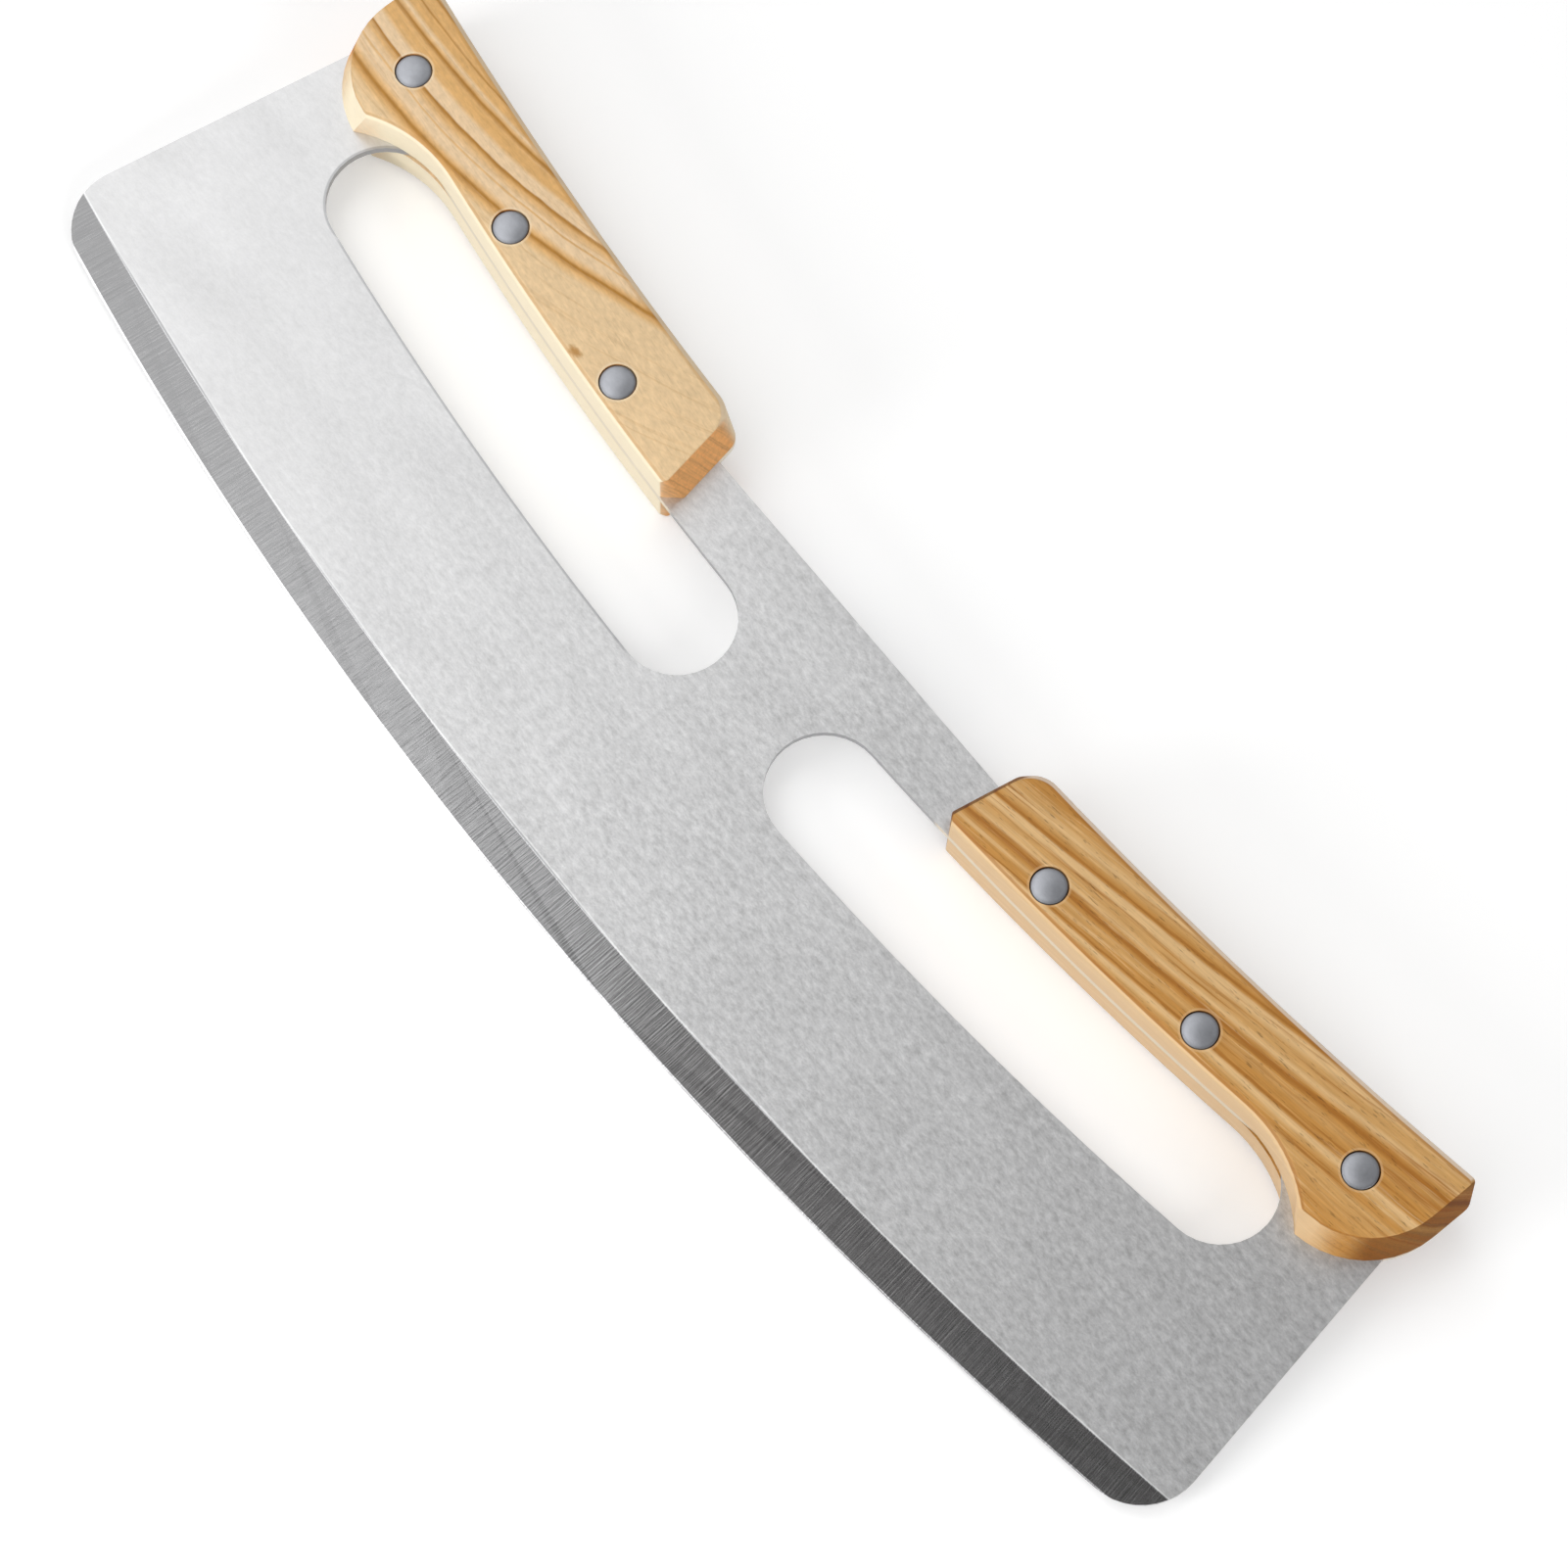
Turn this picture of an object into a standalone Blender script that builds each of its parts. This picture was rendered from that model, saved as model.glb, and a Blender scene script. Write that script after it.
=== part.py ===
"""Pizza rocker knife, lying on its side as it is put down on a table.

One stainless plate carries the rocking edge, two grip slots and the tangs of both handles.
Each handle is a pair of shaped wooden scales, held by three cutler's rivets of two halves each.

The knife is drawn in the blade's own frame: X along the blade, Y from the cutting edge to the
spine, Z out of the front face, with the plate's middle plane at Z = 0 and the mirror plane at
X = 0. The edge, the slots, the grips and the rivets share one centre, the rocking centre,
straight above the edge. At the end the whole frame is tilted until the knife rests on its
cutting edge and on its back scales.
"""
import math

import bmesh
import bpy
from mathutils import Vector

# Blade plate, in metres
EDGE_RADIUS = 0.965
BLADE_LENGTH = 0.354
LENGTH_HEIGHT = 0.025
END_LEAN = math.radians(9.5)
BLADE_CORNER_RADIUS = 0.0138
BLADE_THICKNESS = 0.002
EDGE_THICKNESS = 0.0003
GRIND_WIDTH = 0.0087
GRIND_END_WIDTH = 0.0076
SPINE_STEP = 0.0058

# Grip slots
SLOT_WIDTH = 0.0252
BRIDGE_WIDTH = 0.0228
SLOT_END_SETBACK = 0.0349

# Handles: the grip's height above the edge and the handle's width are those on the mirror plane
GRIP_HEIGHT = 0.0745
HANDLE_WIDTH = 0.0216
HANDLE_BACK_RADIUS = 1.035
HANDLE_LENGTH = 0.1269
HANDLE_INSET = 0.0075
SCALE_THICKNESS = 0.009
SIDE_CHAMFER = 0.0011
END_SLOPE = 0.0027
INNER_END_LEAN = math.radians(10)
INNER_CORNER_RADIUS = 0.004
INNER_CORNER_CUT = 0.0041
OUTER_CORNER_RADIUS = 0.0035
OUTER_END_RADIUS = 0.0213
FINGER_RADIUS = 0.032
FINGER_SETBACK = 0.0379
BEAK_OVERLAP = 0.00465

# Cutler's rivets
RIVET_SIDE_MARGIN = 0.00145
RIVET_INNER_MARGIN = 0.0264
RIVET_OUTER_MARGIN = 0.0184
RIVETS_PER_HANDLE = 3
RIVET_HEAD_RADIUS = 0.00395
RIVET_HEAD_SINK = 0.0014
RIVET_RIM_RADIUS = 0.0004
RIVET_CROWN = 0.00025
TUBE_RADIUS = 0.0025
PIN_RADIUS = 0.0013
TUBE_FLOOR = 0.0015

# Fit and smoothness
CLEARANCE = 0.0003
CUT_MARGIN = 0.003
EDGE_SEGMENTS = 36
HANDLE_SEGMENTS = 16
CURVE_SEGMENTS = 10
SLOT_END_SEGMENTS = 18
ROUND_SEGMENTS = 24
RIM_SEGMENTS = 2

# Values that follow from the sizes above
ROCKING_CENTRE = Vector((0.0, EDGE_RADIUS))
BACK_HEIGHT = GRIP_HEIGHT + HANDLE_WIDTH
BACK_CENTRE = Vector((0.0, BACK_HEIGHT + HANDLE_BACK_RADIUS))
HALF_PLATE = BLADE_THICKNESS / 2
SCALE_SEAT = HALF_PLATE + CLEARANCE
SCALE_FACE = SCALE_SEAT + SCALE_THICKNESS
OUTER_END_X = BLADE_LENGTH / 2 - HANDLE_INSET
INNER_END_X = OUTER_END_X - HANDLE_LENGTH
SLOT_SIDE_RADIUS = EDGE_RADIUS - GRIP_HEIGHT
SPINE_HEIGHT = BACK_HEIGHT - SPINE_STEP
HEAD_SEAT = SCALE_FACE - RIVET_HEAD_SINK
RIVET_CIRCLE_RADIUS = SLOT_SIDE_RADIUS - RIVET_SIDE_MARGIN - RIVET_HEAD_RADIUS

STEEL = ("blade_steel", (0.62, 0.62, 0.63), 0.34, 1.0)
RIVET_STEEL = ("rivet_steel", (0.45, 0.46, 0.48), 0.38, 1.0)
PALE_WOOD = ("pale_wood", (0.64, 0.40, 0.17), 0.5, 0.0)
WARM_WOOD = ("warm_wood", (0.50, 0.26, 0.08), 0.5, 0.0)


def clear_scene():
    """Remove every object that is in the scene."""
    for item in list(bpy.data.objects):
        bpy.data.objects.remove(item, do_unlink=True)


def make_material(name, colour, roughness, metallic):
    """Return a Principled BSDF material."""
    material = bpy.data.materials.new(name)
    material.use_nodes = True
    shader = material.node_tree.nodes["Principled BSDF"]
    shader.inputs["Base Color"].default_value = (*colour, 1.0)
    shader.inputs["Roughness"].default_value = roughness
    shader.inputs["Metallic"].default_value = metallic
    return material


# Plane geometry in the blade's frame

def circle_point(centre, radius, angle):
    """Point of a circle, with the angle counted from +X."""
    return centre + radius * Vector((math.cos(angle), math.sin(angle)))


def circle_arc(centre, radius, start, end, segments):
    """Points of an arc from the start angle to the end angle, both ends included."""
    steps = range(segments + 1)
    return [circle_point(centre, radius, start + (end - start) * step / segments) for step in steps]


def bowl_angle(radius, x):
    """Angle of the lower point at this X on a circle whose centre is on the mirror plane."""
    return math.asin(x / radius) - math.pi / 2


def bowl_point(centre, radius, x):
    """Lower point at this X on a circle whose centre is on the mirror plane."""
    return circle_point(centre, radius, bowl_angle(radius, x))


def bowl_arc(centre, radius, start_x, end_x, segments):
    """Points along the lower side of such a circle, from one X to another."""
    start = bowl_angle(radius, start_x)
    return circle_arc(centre, radius, start, bowl_angle(radius, end_x), segments)


def angle_of(vector):
    """Angle of a plane vector from +X."""
    return math.atan2(vector.y, vector.x)


def line_meets_bowl(point, direction, centre, radius):
    """Where a rising line meets the lower side of a circle."""
    start = point - centre
    along = start.dot(direction)
    reach = math.sqrt(along ** 2 - start.length_squared + radius ** 2)
    return point - (along + reach) * direction


def circles_meet(first, first_radius, second, second_radius):
    """The point where two circles cross, on the right of the way from the first to the second."""
    between = second - first
    gap = between.length
    along = (gap ** 2 + first_radius ** 2 - second_radius ** 2) / (2 * gap)
    across = math.sqrt(first_radius ** 2 - along ** 2)
    unit = between / gap
    return first + along * unit + across * Vector((unit.y, -unit.x))


def crossing(points, distance):
    """Index of the first step along the points where a signed distance changes sign, and where."""
    for index in range(len(points) - 1):
        here = distance(points[index])
        there = distance(points[index + 1])
        if (here < 0.0) != (there < 0.0):
            share = here / (here - there)
            return index, points[index].lerp(points[index + 1], share)
    raise ValueError("the outlines do not cross")


# Handle outline

def outer_end_points(side_inset, end_inset):
    """Outer end of the right handle: finger curve, round end and the corner with its back."""
    finger_circle = SLOT_SIDE_RADIUS + FINGER_RADIUS
    finger = bowl_point(ROCKING_CENTRE, finger_circle, OUTER_END_X - FINGER_SETBACK)
    finger_radius = FINGER_RADIUS + side_inset
    between = FINGER_RADIUS + OUTER_END_RADIUS - BEAK_OVERLAP
    outward = FINGER_SETBACK - OUTER_END_RADIUS
    centre = finger + Vector((outward, math.sqrt(between ** 2 - outward ** 2)))
    radius = OUTER_END_RADIUS - end_inset
    beak = circles_meet(finger, finger_radius, centre, radius)
    start = angle_of(ROCKING_CENTRE - finger)
    curve = circle_arc(finger, finger_radius, start, angle_of(beak - finger), CURVE_SEGMENTS)
    full_beak = circles_meet(finger, FINGER_RADIUS, centre, OUTER_END_RADIUS)
    end = circle_arc(centre, radius, angle_of(full_beak - centre), 0.0, CURVE_SEGMENTS)
    corner_radius = max(OUTER_CORNER_RADIUS - end_inset, SIDE_CHAMFER)
    corner_circle = HANDLE_BACK_RADIUS + side_inset + corner_radius
    corner = bowl_point(BACK_CENTRE, corner_circle, centre.x + radius - corner_radius)
    turn = circle_arc(corner, corner_radius, 0.0, angle_of(BACK_CENTRE - corner), CURVE_SEGMENTS)
    return curve, end[1:], turn


def inner_end_points(side_inset, end_inset):
    """Inner end of the right handle: rounded upper corner, leaning end and cut lower corner."""
    upward = Vector((math.sin(INNER_END_LEAN), math.cos(INNER_END_LEAN)))
    inward = Vector((upward.y, -upward.x))
    line = bowl_point(ROCKING_CENTRE, SLOT_SIDE_RADIUS, INNER_END_X) + end_inset * inward
    corner_radius = INNER_CORNER_RADIUS + end_inset
    corner_circle = HANDLE_BACK_RADIUS + side_inset + corner_radius
    corner = line_meets_bowl(line + corner_radius * inward, upward, BACK_CENTRE, corner_circle)
    start = angle_of(BACK_CENTRE - corner)
    end = angle_of(-inward) % math.tau
    turn = circle_arc(corner, corner_radius, start, end, CURVE_SEGMENTS)
    slot_radius = SLOT_SIDE_RADIUS - side_inset
    foot = line_meets_bowl(line, upward, ROCKING_CENTRE, slot_radius)
    cut_width = max(INNER_CORNER_CUT - end_inset - side_inset, CLEARANCE)
    upper_cut = foot + cut_width * upward
    lower_cut = bowl_point(ROCKING_CENTRE, slot_radius, foot.x + cut_width)
    return turn, upper_cut, lower_cut


def scale_outline(side_inset, end_inset):
    """Closed outline of the right handle, counterclockwise from its cut lower corner.

    The slot side, the finger curve and the back move in by side_inset, both ends by end_inset.
    Every inset gives as many points, so that outlines can be lofted together.
    """
    finger_curve, round_end, outer_turn = outer_end_points(side_inset, end_inset)
    inner_turn, upper_cut, lower_cut = inner_end_points(side_inset, end_inset)
    slot_side = bowl_arc(ROCKING_CENTRE, SLOT_SIDE_RADIUS - side_inset,
                         lower_cut.x, finger_curve[0].x, HANDLE_SEGMENTS)
    back = bowl_arc(BACK_CENTRE, HANDLE_BACK_RADIUS + side_inset,
                    outer_turn[-1].x, inner_turn[0].x, HANDLE_SEGMENTS)
    ends = finger_curve[1:] + round_end + outer_turn
    return slot_side + ends + back[1:-1] + inner_turn + [upper_cut]


# Blade outline

def blade_end_line():
    """A point, the upward direction and the inward direction of the blade's right end."""
    point = Vector((BLADE_LENGTH / 2, LENGTH_HEIGHT))
    upward = Vector((-math.sin(END_LEAN), math.cos(END_LEAN)))
    inward = Vector((-upward.y, upward.x))
    return point, upward, inward


def blade_corner():
    """Points of the rounded corner between the cutting edge and the blade's right end."""
    point, upward, inward = blade_end_line()
    radius = BLADE_CORNER_RADIUS
    centre = line_meets_bowl(point + radius * inward, upward, ROCKING_CENTRE, EDGE_RADIUS - radius)
    start = angle_of(centre - ROCKING_CENTRE)
    return circle_arc(centre, radius, start, angle_of(-inward), CURVE_SEGMENTS)


def blade_half_outline():
    """Right half of the blade's outline, from the middle of the edge to the middle of the spine.

    From the blade's end it follows the handle's outline, so that the tang is flush with its
    scales, down to the plain spine between the handles.
    """
    corner = blade_corner()
    edge = bowl_arc(ROCKING_CENTRE, EDGE_RADIUS, 0.0, corner[0].x, EDGE_SEGMENTS // 2)
    point, _, inward = blade_end_line()
    handle = scale_outline(0.0, 0.0)
    handle = handle[HANDLE_SEGMENTS + CURVE_SEGMENTS:]
    start, meeting = crossing(handle, lambda place: (place - point).dot(inward))
    handle = handle[start + 1:]
    stop, spine_end = crossing(handle, lambda place: place.y - SPINE_HEIGHT)
    tang = [meeting] + handle[:stop + 1] + [spine_end]
    return edge[:-1] + corner + tang


def mirrored(points):
    """The same outline on the other side of the mirror plane, in the opposite order."""
    return [Vector((-point.x, point.y)) for point in reversed(points)]


def slot_outline():
    """Closed outline of the right grip slot: a band along the rocking curve with round ends."""
    half = SLOT_WIDTH / 2
    middle = SLOT_SIDE_RADIUS + half
    start = bowl_angle(middle, BRIDGE_WIDTH / 2 + half)
    end = bowl_angle(middle, OUTER_END_X - SLOT_END_SETBACK)
    lower = circle_arc(ROCKING_CENTRE, middle + half, start, end, HANDLE_SEGMENTS)
    upper = circle_arc(ROCKING_CENTRE, middle - half, end, start, HANDLE_SEGMENTS)
    outer_end = circle_arc(circle_point(ROCKING_CENTRE, middle, end), half,
                           end, end + math.pi, SLOT_END_SEGMENTS)
    inner_end = circle_arc(circle_point(ROCKING_CENTRE, middle, start), half,
                           start + math.pi, start + math.tau, SLOT_END_SEGMENTS)
    return lower + outer_end[1:-1] + upper + inner_end[1:-1]


def rivet_places():
    """Centres of the rivets of the right handle, from the inner one to the outer one."""
    first = INNER_END_X + RIVET_INNER_MARGIN
    last = OUTER_END_X - RIVET_OUTER_MARGIN
    return bowl_arc(ROCKING_CENTRE, RIVET_CIRCLE_RADIUS, first, last, RIVETS_PER_HANDLE - 1)


# Solids

def new_object(name, mesh_data, material=None):
    """Turn a bmesh into an object with outward faces, smooth where it is round."""
    bmesh.ops.recalc_face_normals(mesh_data, faces=mesh_data.faces)
    mesh = bpy.data.meshes.new(name)
    mesh_data.to_mesh(mesh)
    mesh_data.free()
    mesh.shade_smooth()
    mesh.set_sharp_from_angle(angle=math.radians(30))
    if material:
        mesh.materials.append(material)
    item = bpy.data.objects.new(name, mesh)
    bpy.context.collection.objects.link(item)
    return item


def add_loft(mesh_data, rings):
    """Add a closed solid through rings of as many 3D points each, with a cap on both ends."""
    loops = [[mesh_data.verts.new(point) for point in ring] for ring in rings]
    count = len(loops[0])
    for lower, upper in zip(loops, loops[1:]):
        for index in range(count):
            following = (index + 1) % count
            mesh_data.faces.new((lower[index], lower[following], upper[following], upper[index]))
    mesh_data.faces.new(loops[0])
    mesh_data.faces.new(loops[-1])


def at_depth(points, depth):
    """Lift plane points to a height out of the blade's middle plane."""
    return [Vector((point.x, point.y, depth)) for point in points]


def add_prism(mesh_data, outline, bottom, top):
    """Add an upright solid with the given plane outline."""
    add_loft(mesh_data, [at_depth(outline, bottom), at_depth(outline, top)])


def revolve(profile, segments):
    """Return a bmesh of a profile of (radius, height) points turned about Z."""
    mesh_data = bmesh.new()
    points = [mesh_data.verts.new((radius, 0.0, height)) for radius, height in profile]
    edges = [mesh_data.edges.new(pair) for pair in zip(points, points[1:])]
    bmesh.ops.spin(mesh_data, geom=points + edges, cent=(0, 0, 0), axis=(0, 0, 1),
                   angle=math.tau, steps=segments, use_duplicate=False)
    bmesh.ops.remove_doubles(mesh_data, verts=mesh_data.verts, dist=1e-6)
    return mesh_data


def hide_cutter(item):
    """Mark an object as a cutter that is not part of the knife."""
    item.hide_render = True
    item.display_type = "WIRE"


def cut(item, cutter):
    """Cut a cutter's shape out of an object with a Boolean modifier."""
    modifier = item.modifiers.new("cut_" + cutter.name, "BOOLEAN")
    modifier.operation = "DIFFERENCE"
    modifier.solver = "EXACT"
    modifier.object = cutter


def make_grind_cutter():
    """Wedges that grind the cutting bevel on both sides of the plate."""
    half_length = BLADE_LENGTH / 2
    edge_end = bowl_point(ROCKING_CENTRE, EDGE_RADIUS, half_length)
    rise = edge_end.y + GRIND_END_WIDTH - GRIND_WIDTH
    radius = (half_length ** 2 + rise ** 2) / (2 * rise)
    centre = Vector((0.0, GRIND_WIDTH + radius))
    slope = (HALF_PLATE - EDGE_THICKNESS / 2) / GRIND_WIDTH
    reach = math.asin((half_length + CUT_MARGIN) / radius)
    inner = -CUT_MARGIN
    outer = GRIND_WIDTH + CUT_MARGIN
    section = [(inner, HALF_PLATE - inner * slope), (outer, HALF_PLATE - outer * slope),
               (outer, HALF_PLATE + CUT_MARGIN), (inner, HALF_PLATE + CUT_MARGIN)]
    mesh_data = bmesh.new()
    for side in (1, -1):
        rings = []
        for step in range(EDGE_SEGMENTS + 1):
            angle = -math.pi / 2 + reach * (2 * step / EDGE_SEGMENTS - 1)
            ring = []
            for width, depth in section:
                place = circle_point(centre, radius + width, angle)
                ring.append(Vector((place.x, place.y, side * depth)))
            rings.append(ring)
        add_loft(mesh_data, rings)
    cutter = new_object("grind_cutter", mesh_data)
    hide_cutter(cutter)
    return cutter


def make_slot_cutter():
    """Prisms of both grip slots."""
    mesh_data = bmesh.new()
    outline = slot_outline()
    depth = HALF_PLATE + CUT_MARGIN
    for side in (outline, mirrored(outline)):
        add_prism(mesh_data, side, -depth, depth)
    cutter = new_object("slot_cutter", mesh_data)
    hide_cutter(cutter)
    return cutter


def make_rivet_hole_cutter():
    """Stepped holes through both handles, wide at both faces for the rivet heads."""
    wide = RIVET_HEAD_RADIUS + CLEARANCE
    narrow = TUBE_RADIUS + CLEARANCE
    floor = HEAD_SEAT - CLEARANCE
    end = SCALE_FACE + CUT_MARGIN
    profile = [(0.0, -end), (wide, -end), (wide, -floor), (narrow, -floor),
               (narrow, floor), (wide, floor), (wide, end), (0.0, end)]
    mesh_data = bmesh.new()
    hole = bpy.data.meshes.new("rivet_hole")
    turned = revolve(profile, ROUND_SEGMENTS)
    turned.to_mesh(hole)
    turned.free()
    for place in rivet_places() + mirrored(rivet_places()):
        added = len(mesh_data.verts)
        mesh_data.from_mesh(hole)
        mesh_data.verts.ensure_lookup_table()
        bmesh.ops.translate(mesh_data, verts=mesh_data.verts[added:], vec=(place.x, place.y, 0.0))
    bpy.data.meshes.remove(hole)
    cutter = new_object("rivet_hole_cutter", mesh_data)
    hide_cutter(cutter)
    return cutter


def make_blade(material, cutters):
    """The stainless plate: outline, ground edge, grip slots and rivet holes."""
    half = blade_half_outline()
    mesh_data = bmesh.new()
    add_prism(mesh_data, half[1:] + mirrored(half), -HALF_PLATE, HALF_PLATE)
    blade = new_object("blade", mesh_data, material)
    for cutter in cutters:
        cut(blade, cutter)
    return blade


def make_scale(name, on_left, at_back, material, rivet_hole_cutter):
    """One wooden scale, lofted from its seat on the tang to its chamfered outer face."""
    rings = []
    for height, side_inset in ((0.0, 0.0), (SCALE_THICKNESS - SIDE_CHAMFER, 0.0),
                               (SCALE_THICKNESS, SIDE_CHAMFER)):
        outline = scale_outline(side_inset, END_SLOPE * height / SCALE_THICKNESS)
        if on_left:
            outline = mirrored(outline)
        depth = SCALE_SEAT + height
        rings.append(at_depth(outline, -depth if at_back else depth))
    mesh_data = bmesh.new()
    add_loft(mesh_data, rings)
    scale = new_object(name, mesh_data, material)
    cut(scale, rivet_hole_cutter)
    return scale


def head_profile():
    """Domed rivet head from its crown to its seat, as (radius, height) points."""
    rim = SCALE_FACE - RIVET_RIM_RADIUS
    flat = RIVET_HEAD_RADIUS - RIVET_RIM_RADIUS
    points = [(0.0, SCALE_FACE + RIVET_CROWN)]
    points.append((flat / 2, SCALE_FACE + RIVET_CROWN * 3 / 4))
    turn = circle_arc(Vector((flat, rim)), RIVET_RIM_RADIUS, math.pi / 2, 0.0, RIM_SEGMENTS)
    points.extend(tuple(place) for place in turn)
    points.append((RIVET_HEAD_RADIUS, HEAD_SEAT))
    return points


def tube_profile():
    """Female rivet half: head and a tube that reaches almost to the other head."""
    end = -HEAD_SEAT + CLEARANCE
    bore = PIN_RADIUS + CLEARANCE
    floor = HEAD_SEAT - TUBE_FLOOR
    shank = [(TUBE_RADIUS, HEAD_SEAT), (TUBE_RADIUS, end), (bore, end), (bore, floor), (0.0, floor)]
    return head_profile() + shank


def pin_profile():
    """Male rivet half: head and a solid pin that fills the tube of the other half."""
    tip = HEAD_SEAT - TUBE_FLOOR - CLEARANCE
    return head_profile() + [(PIN_RADIUS, HEAD_SEAT), (PIN_RADIUS, -tip), (0.0, -tip)]


def make_rivet_half(name, profile, place, at_back, material):
    """One rivet half, turned about its own axis and placed on the handle."""
    half = new_object(name, revolve(profile, ROUND_SEGMENTS), material)
    if at_back:
        half.rotation_euler = (math.pi, 0.0, 0.0)
    half.location = (place.x, place.y, 0.0)
    return half


def make_rivets(material):
    """All rivets of both handles: tubes from the front, pins from the back."""
    places = rivet_places()
    halves = []
    for side, signed in (("left", -1.0), ("right", 1.0)):
        for number, place in enumerate(places, start=1):
            centre = Vector((signed * place.x, place.y))
            name = f"{side}_rivet_{number}"
            halves.append(make_rivet_half(name + "_tube", tube_profile(), centre, False, material))
            halves.append(make_rivet_half(name + "_pin", pin_profile(), centre, True, material))
    return halves


def rest_tilt():
    """Angle at which the edge and the lowest corners of the back scales meet one plane."""
    face = scale_outline(SIDE_CHAMFER, END_SLOPE)
    lowest = min(point.y for point in face)
    return math.atan2(SCALE_FACE - EDGE_THICKNESS / 2, lowest)


def lay_down(items, cutters):
    """Tilt the knife about its edge and put the middle of its base on the world's origin."""
    frame = bpy.data.objects.new("knife_frame", None)
    bpy.context.collection.objects.link(frame)
    frame.rotation_euler = (rest_tilt(), 0.0, 0.0)
    for item in items + cutters:
        item.parent = frame
    graph = bpy.context.evaluated_depsgraph_get()
    corners = []
    for item in items:
        shape = item.evaluated_get(graph)
        corners.extend(shape.matrix_world @ vertex.co for vertex in shape.data.vertices)
    front = min(corner.y for corner in corners)
    back = max(corner.y for corner in corners)
    frame.location = (0.0, -(front + back) / 2, -min(corner.z for corner in corners))


def main():
    """Build the whole knife."""
    clear_scene()
    steel = make_material(*STEEL)
    rivet_steel = make_material(*RIVET_STEEL)
    woods = {"left": make_material(*PALE_WOOD), "right": make_material(*WARM_WOOD)}
    rivet_holes = make_rivet_hole_cutter()
    cutters = [make_grind_cutter(), make_slot_cutter(), rivet_holes]
    items = [make_blade(steel, cutters)]
    for side, wood in woods.items():
        for face in ("front", "back"):
            name = f"{side}_{face}_scale"
            items.append(make_scale(name, side == "left", face == "back", wood, rivet_holes))
    items.extend(make_rivets(rivet_steel))
    lay_down(items, cutters)


main()
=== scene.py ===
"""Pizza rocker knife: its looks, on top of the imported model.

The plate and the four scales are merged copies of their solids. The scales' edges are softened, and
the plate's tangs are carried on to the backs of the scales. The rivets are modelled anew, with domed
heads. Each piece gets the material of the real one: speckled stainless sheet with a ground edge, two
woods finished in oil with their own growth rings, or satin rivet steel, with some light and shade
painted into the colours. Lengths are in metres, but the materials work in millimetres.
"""
import math

import bmesh
import bpy
from mathutils import Matrix, Vector


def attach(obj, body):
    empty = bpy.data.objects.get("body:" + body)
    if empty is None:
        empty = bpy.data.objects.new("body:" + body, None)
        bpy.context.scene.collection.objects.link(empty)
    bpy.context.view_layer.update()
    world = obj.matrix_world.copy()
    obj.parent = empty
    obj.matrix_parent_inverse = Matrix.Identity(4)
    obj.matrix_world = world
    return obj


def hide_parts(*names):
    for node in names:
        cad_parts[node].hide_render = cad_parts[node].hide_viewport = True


bl_info = {
    "name": "Pizza Rocker Knife",
    "version": (1, 0, 0),
    "blender": (4, 5, 0),
    "location": "3D View > Sidebar > Knife",
    "description": "Finishes a pizza rocker knife and lights it in a plain studio",
    "category": "Add Mesh",
}

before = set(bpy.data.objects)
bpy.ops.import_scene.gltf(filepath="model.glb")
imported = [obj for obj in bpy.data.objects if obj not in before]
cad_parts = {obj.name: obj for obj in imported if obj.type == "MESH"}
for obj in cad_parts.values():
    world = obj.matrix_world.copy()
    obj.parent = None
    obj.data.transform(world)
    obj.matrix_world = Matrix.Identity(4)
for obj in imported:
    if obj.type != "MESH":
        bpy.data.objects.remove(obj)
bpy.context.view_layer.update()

# The knife's own frame: X along the blade, Y from the edge to the spine, Z out of its front face
REST_TILT = math.radians(7.5303)
EDGE_PLACE = Vector((0.0, -0.054863, 0.000149))
KNIFE_FRAME = Matrix.Translation(EDGE_PLACE) @ Matrix.Rotation(REST_TILT, 4, "X")
ACROSS = KNIFE_FRAME.to_3x3() @ Vector((0.0, 1.0, 0.0))
ALONG = Vector((1.0, 0.0, 0.0))

# The knife's sides with their signs along X, and its faces with theirs along Z
SIDES = (("left", -1), ("right", 1))
FACES = (("front", 1), ("back", -1))

# Sizes that the solids have. An arc's centre is its height above the edge, over the knife's middle
HALF_PLATE = 0.001
SPINE_HEIGHT = 0.0903
EDGE_RADIUS = 0.965
EDGE_CENTRE = EDGE_RADIUS
GRIND_LINE_RADIUS = 1.03337
GRIND_LINE_CENTRE = 1.04207
SLOT_RIM_RADIUS = 0.9157
LEFT_SLOT_MIDDLE = -0.079
LEFT_SLOT_END = Vector((-0.1346, 0.07199))
SLOT_END_RADIUS = 0.0126
HANDLE_START = 0.043
HANDLE_MIDDLE = Vector((0.106, 0.0886))
HANDLE_LEAN = math.radians(6.9)
HANDLE_BACK_RADIUS = 1.035
HANDLE_BACK_CENTRE = 1.1311
SCALE_SEAT = 0.0013
SCALE_FACE = 0.0103
SIDE_CHAMFER = 0.0011
CHAMFER_MIDDLE = 0.00972
RIVET_CENTRES = ((0.069, 0.082594), (0.11017, 0.086783), (0.1511, 0.092893))
RIVET_HEAD_RADIUS = 0.00395
RIVET_HEAD_SINK = 0.0014
TUBE_RADIUS = 0.0025
TUBE_FLOOR = 0.0015
PIN_RADIUS = 0.0013
FIT = 0.0003
SOLID_HOLE_RADIUS = RIVET_HEAD_RADIUS + FIT
SHANK_HOLE_RADIUS = TUBE_RADIUS + FIT

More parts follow.
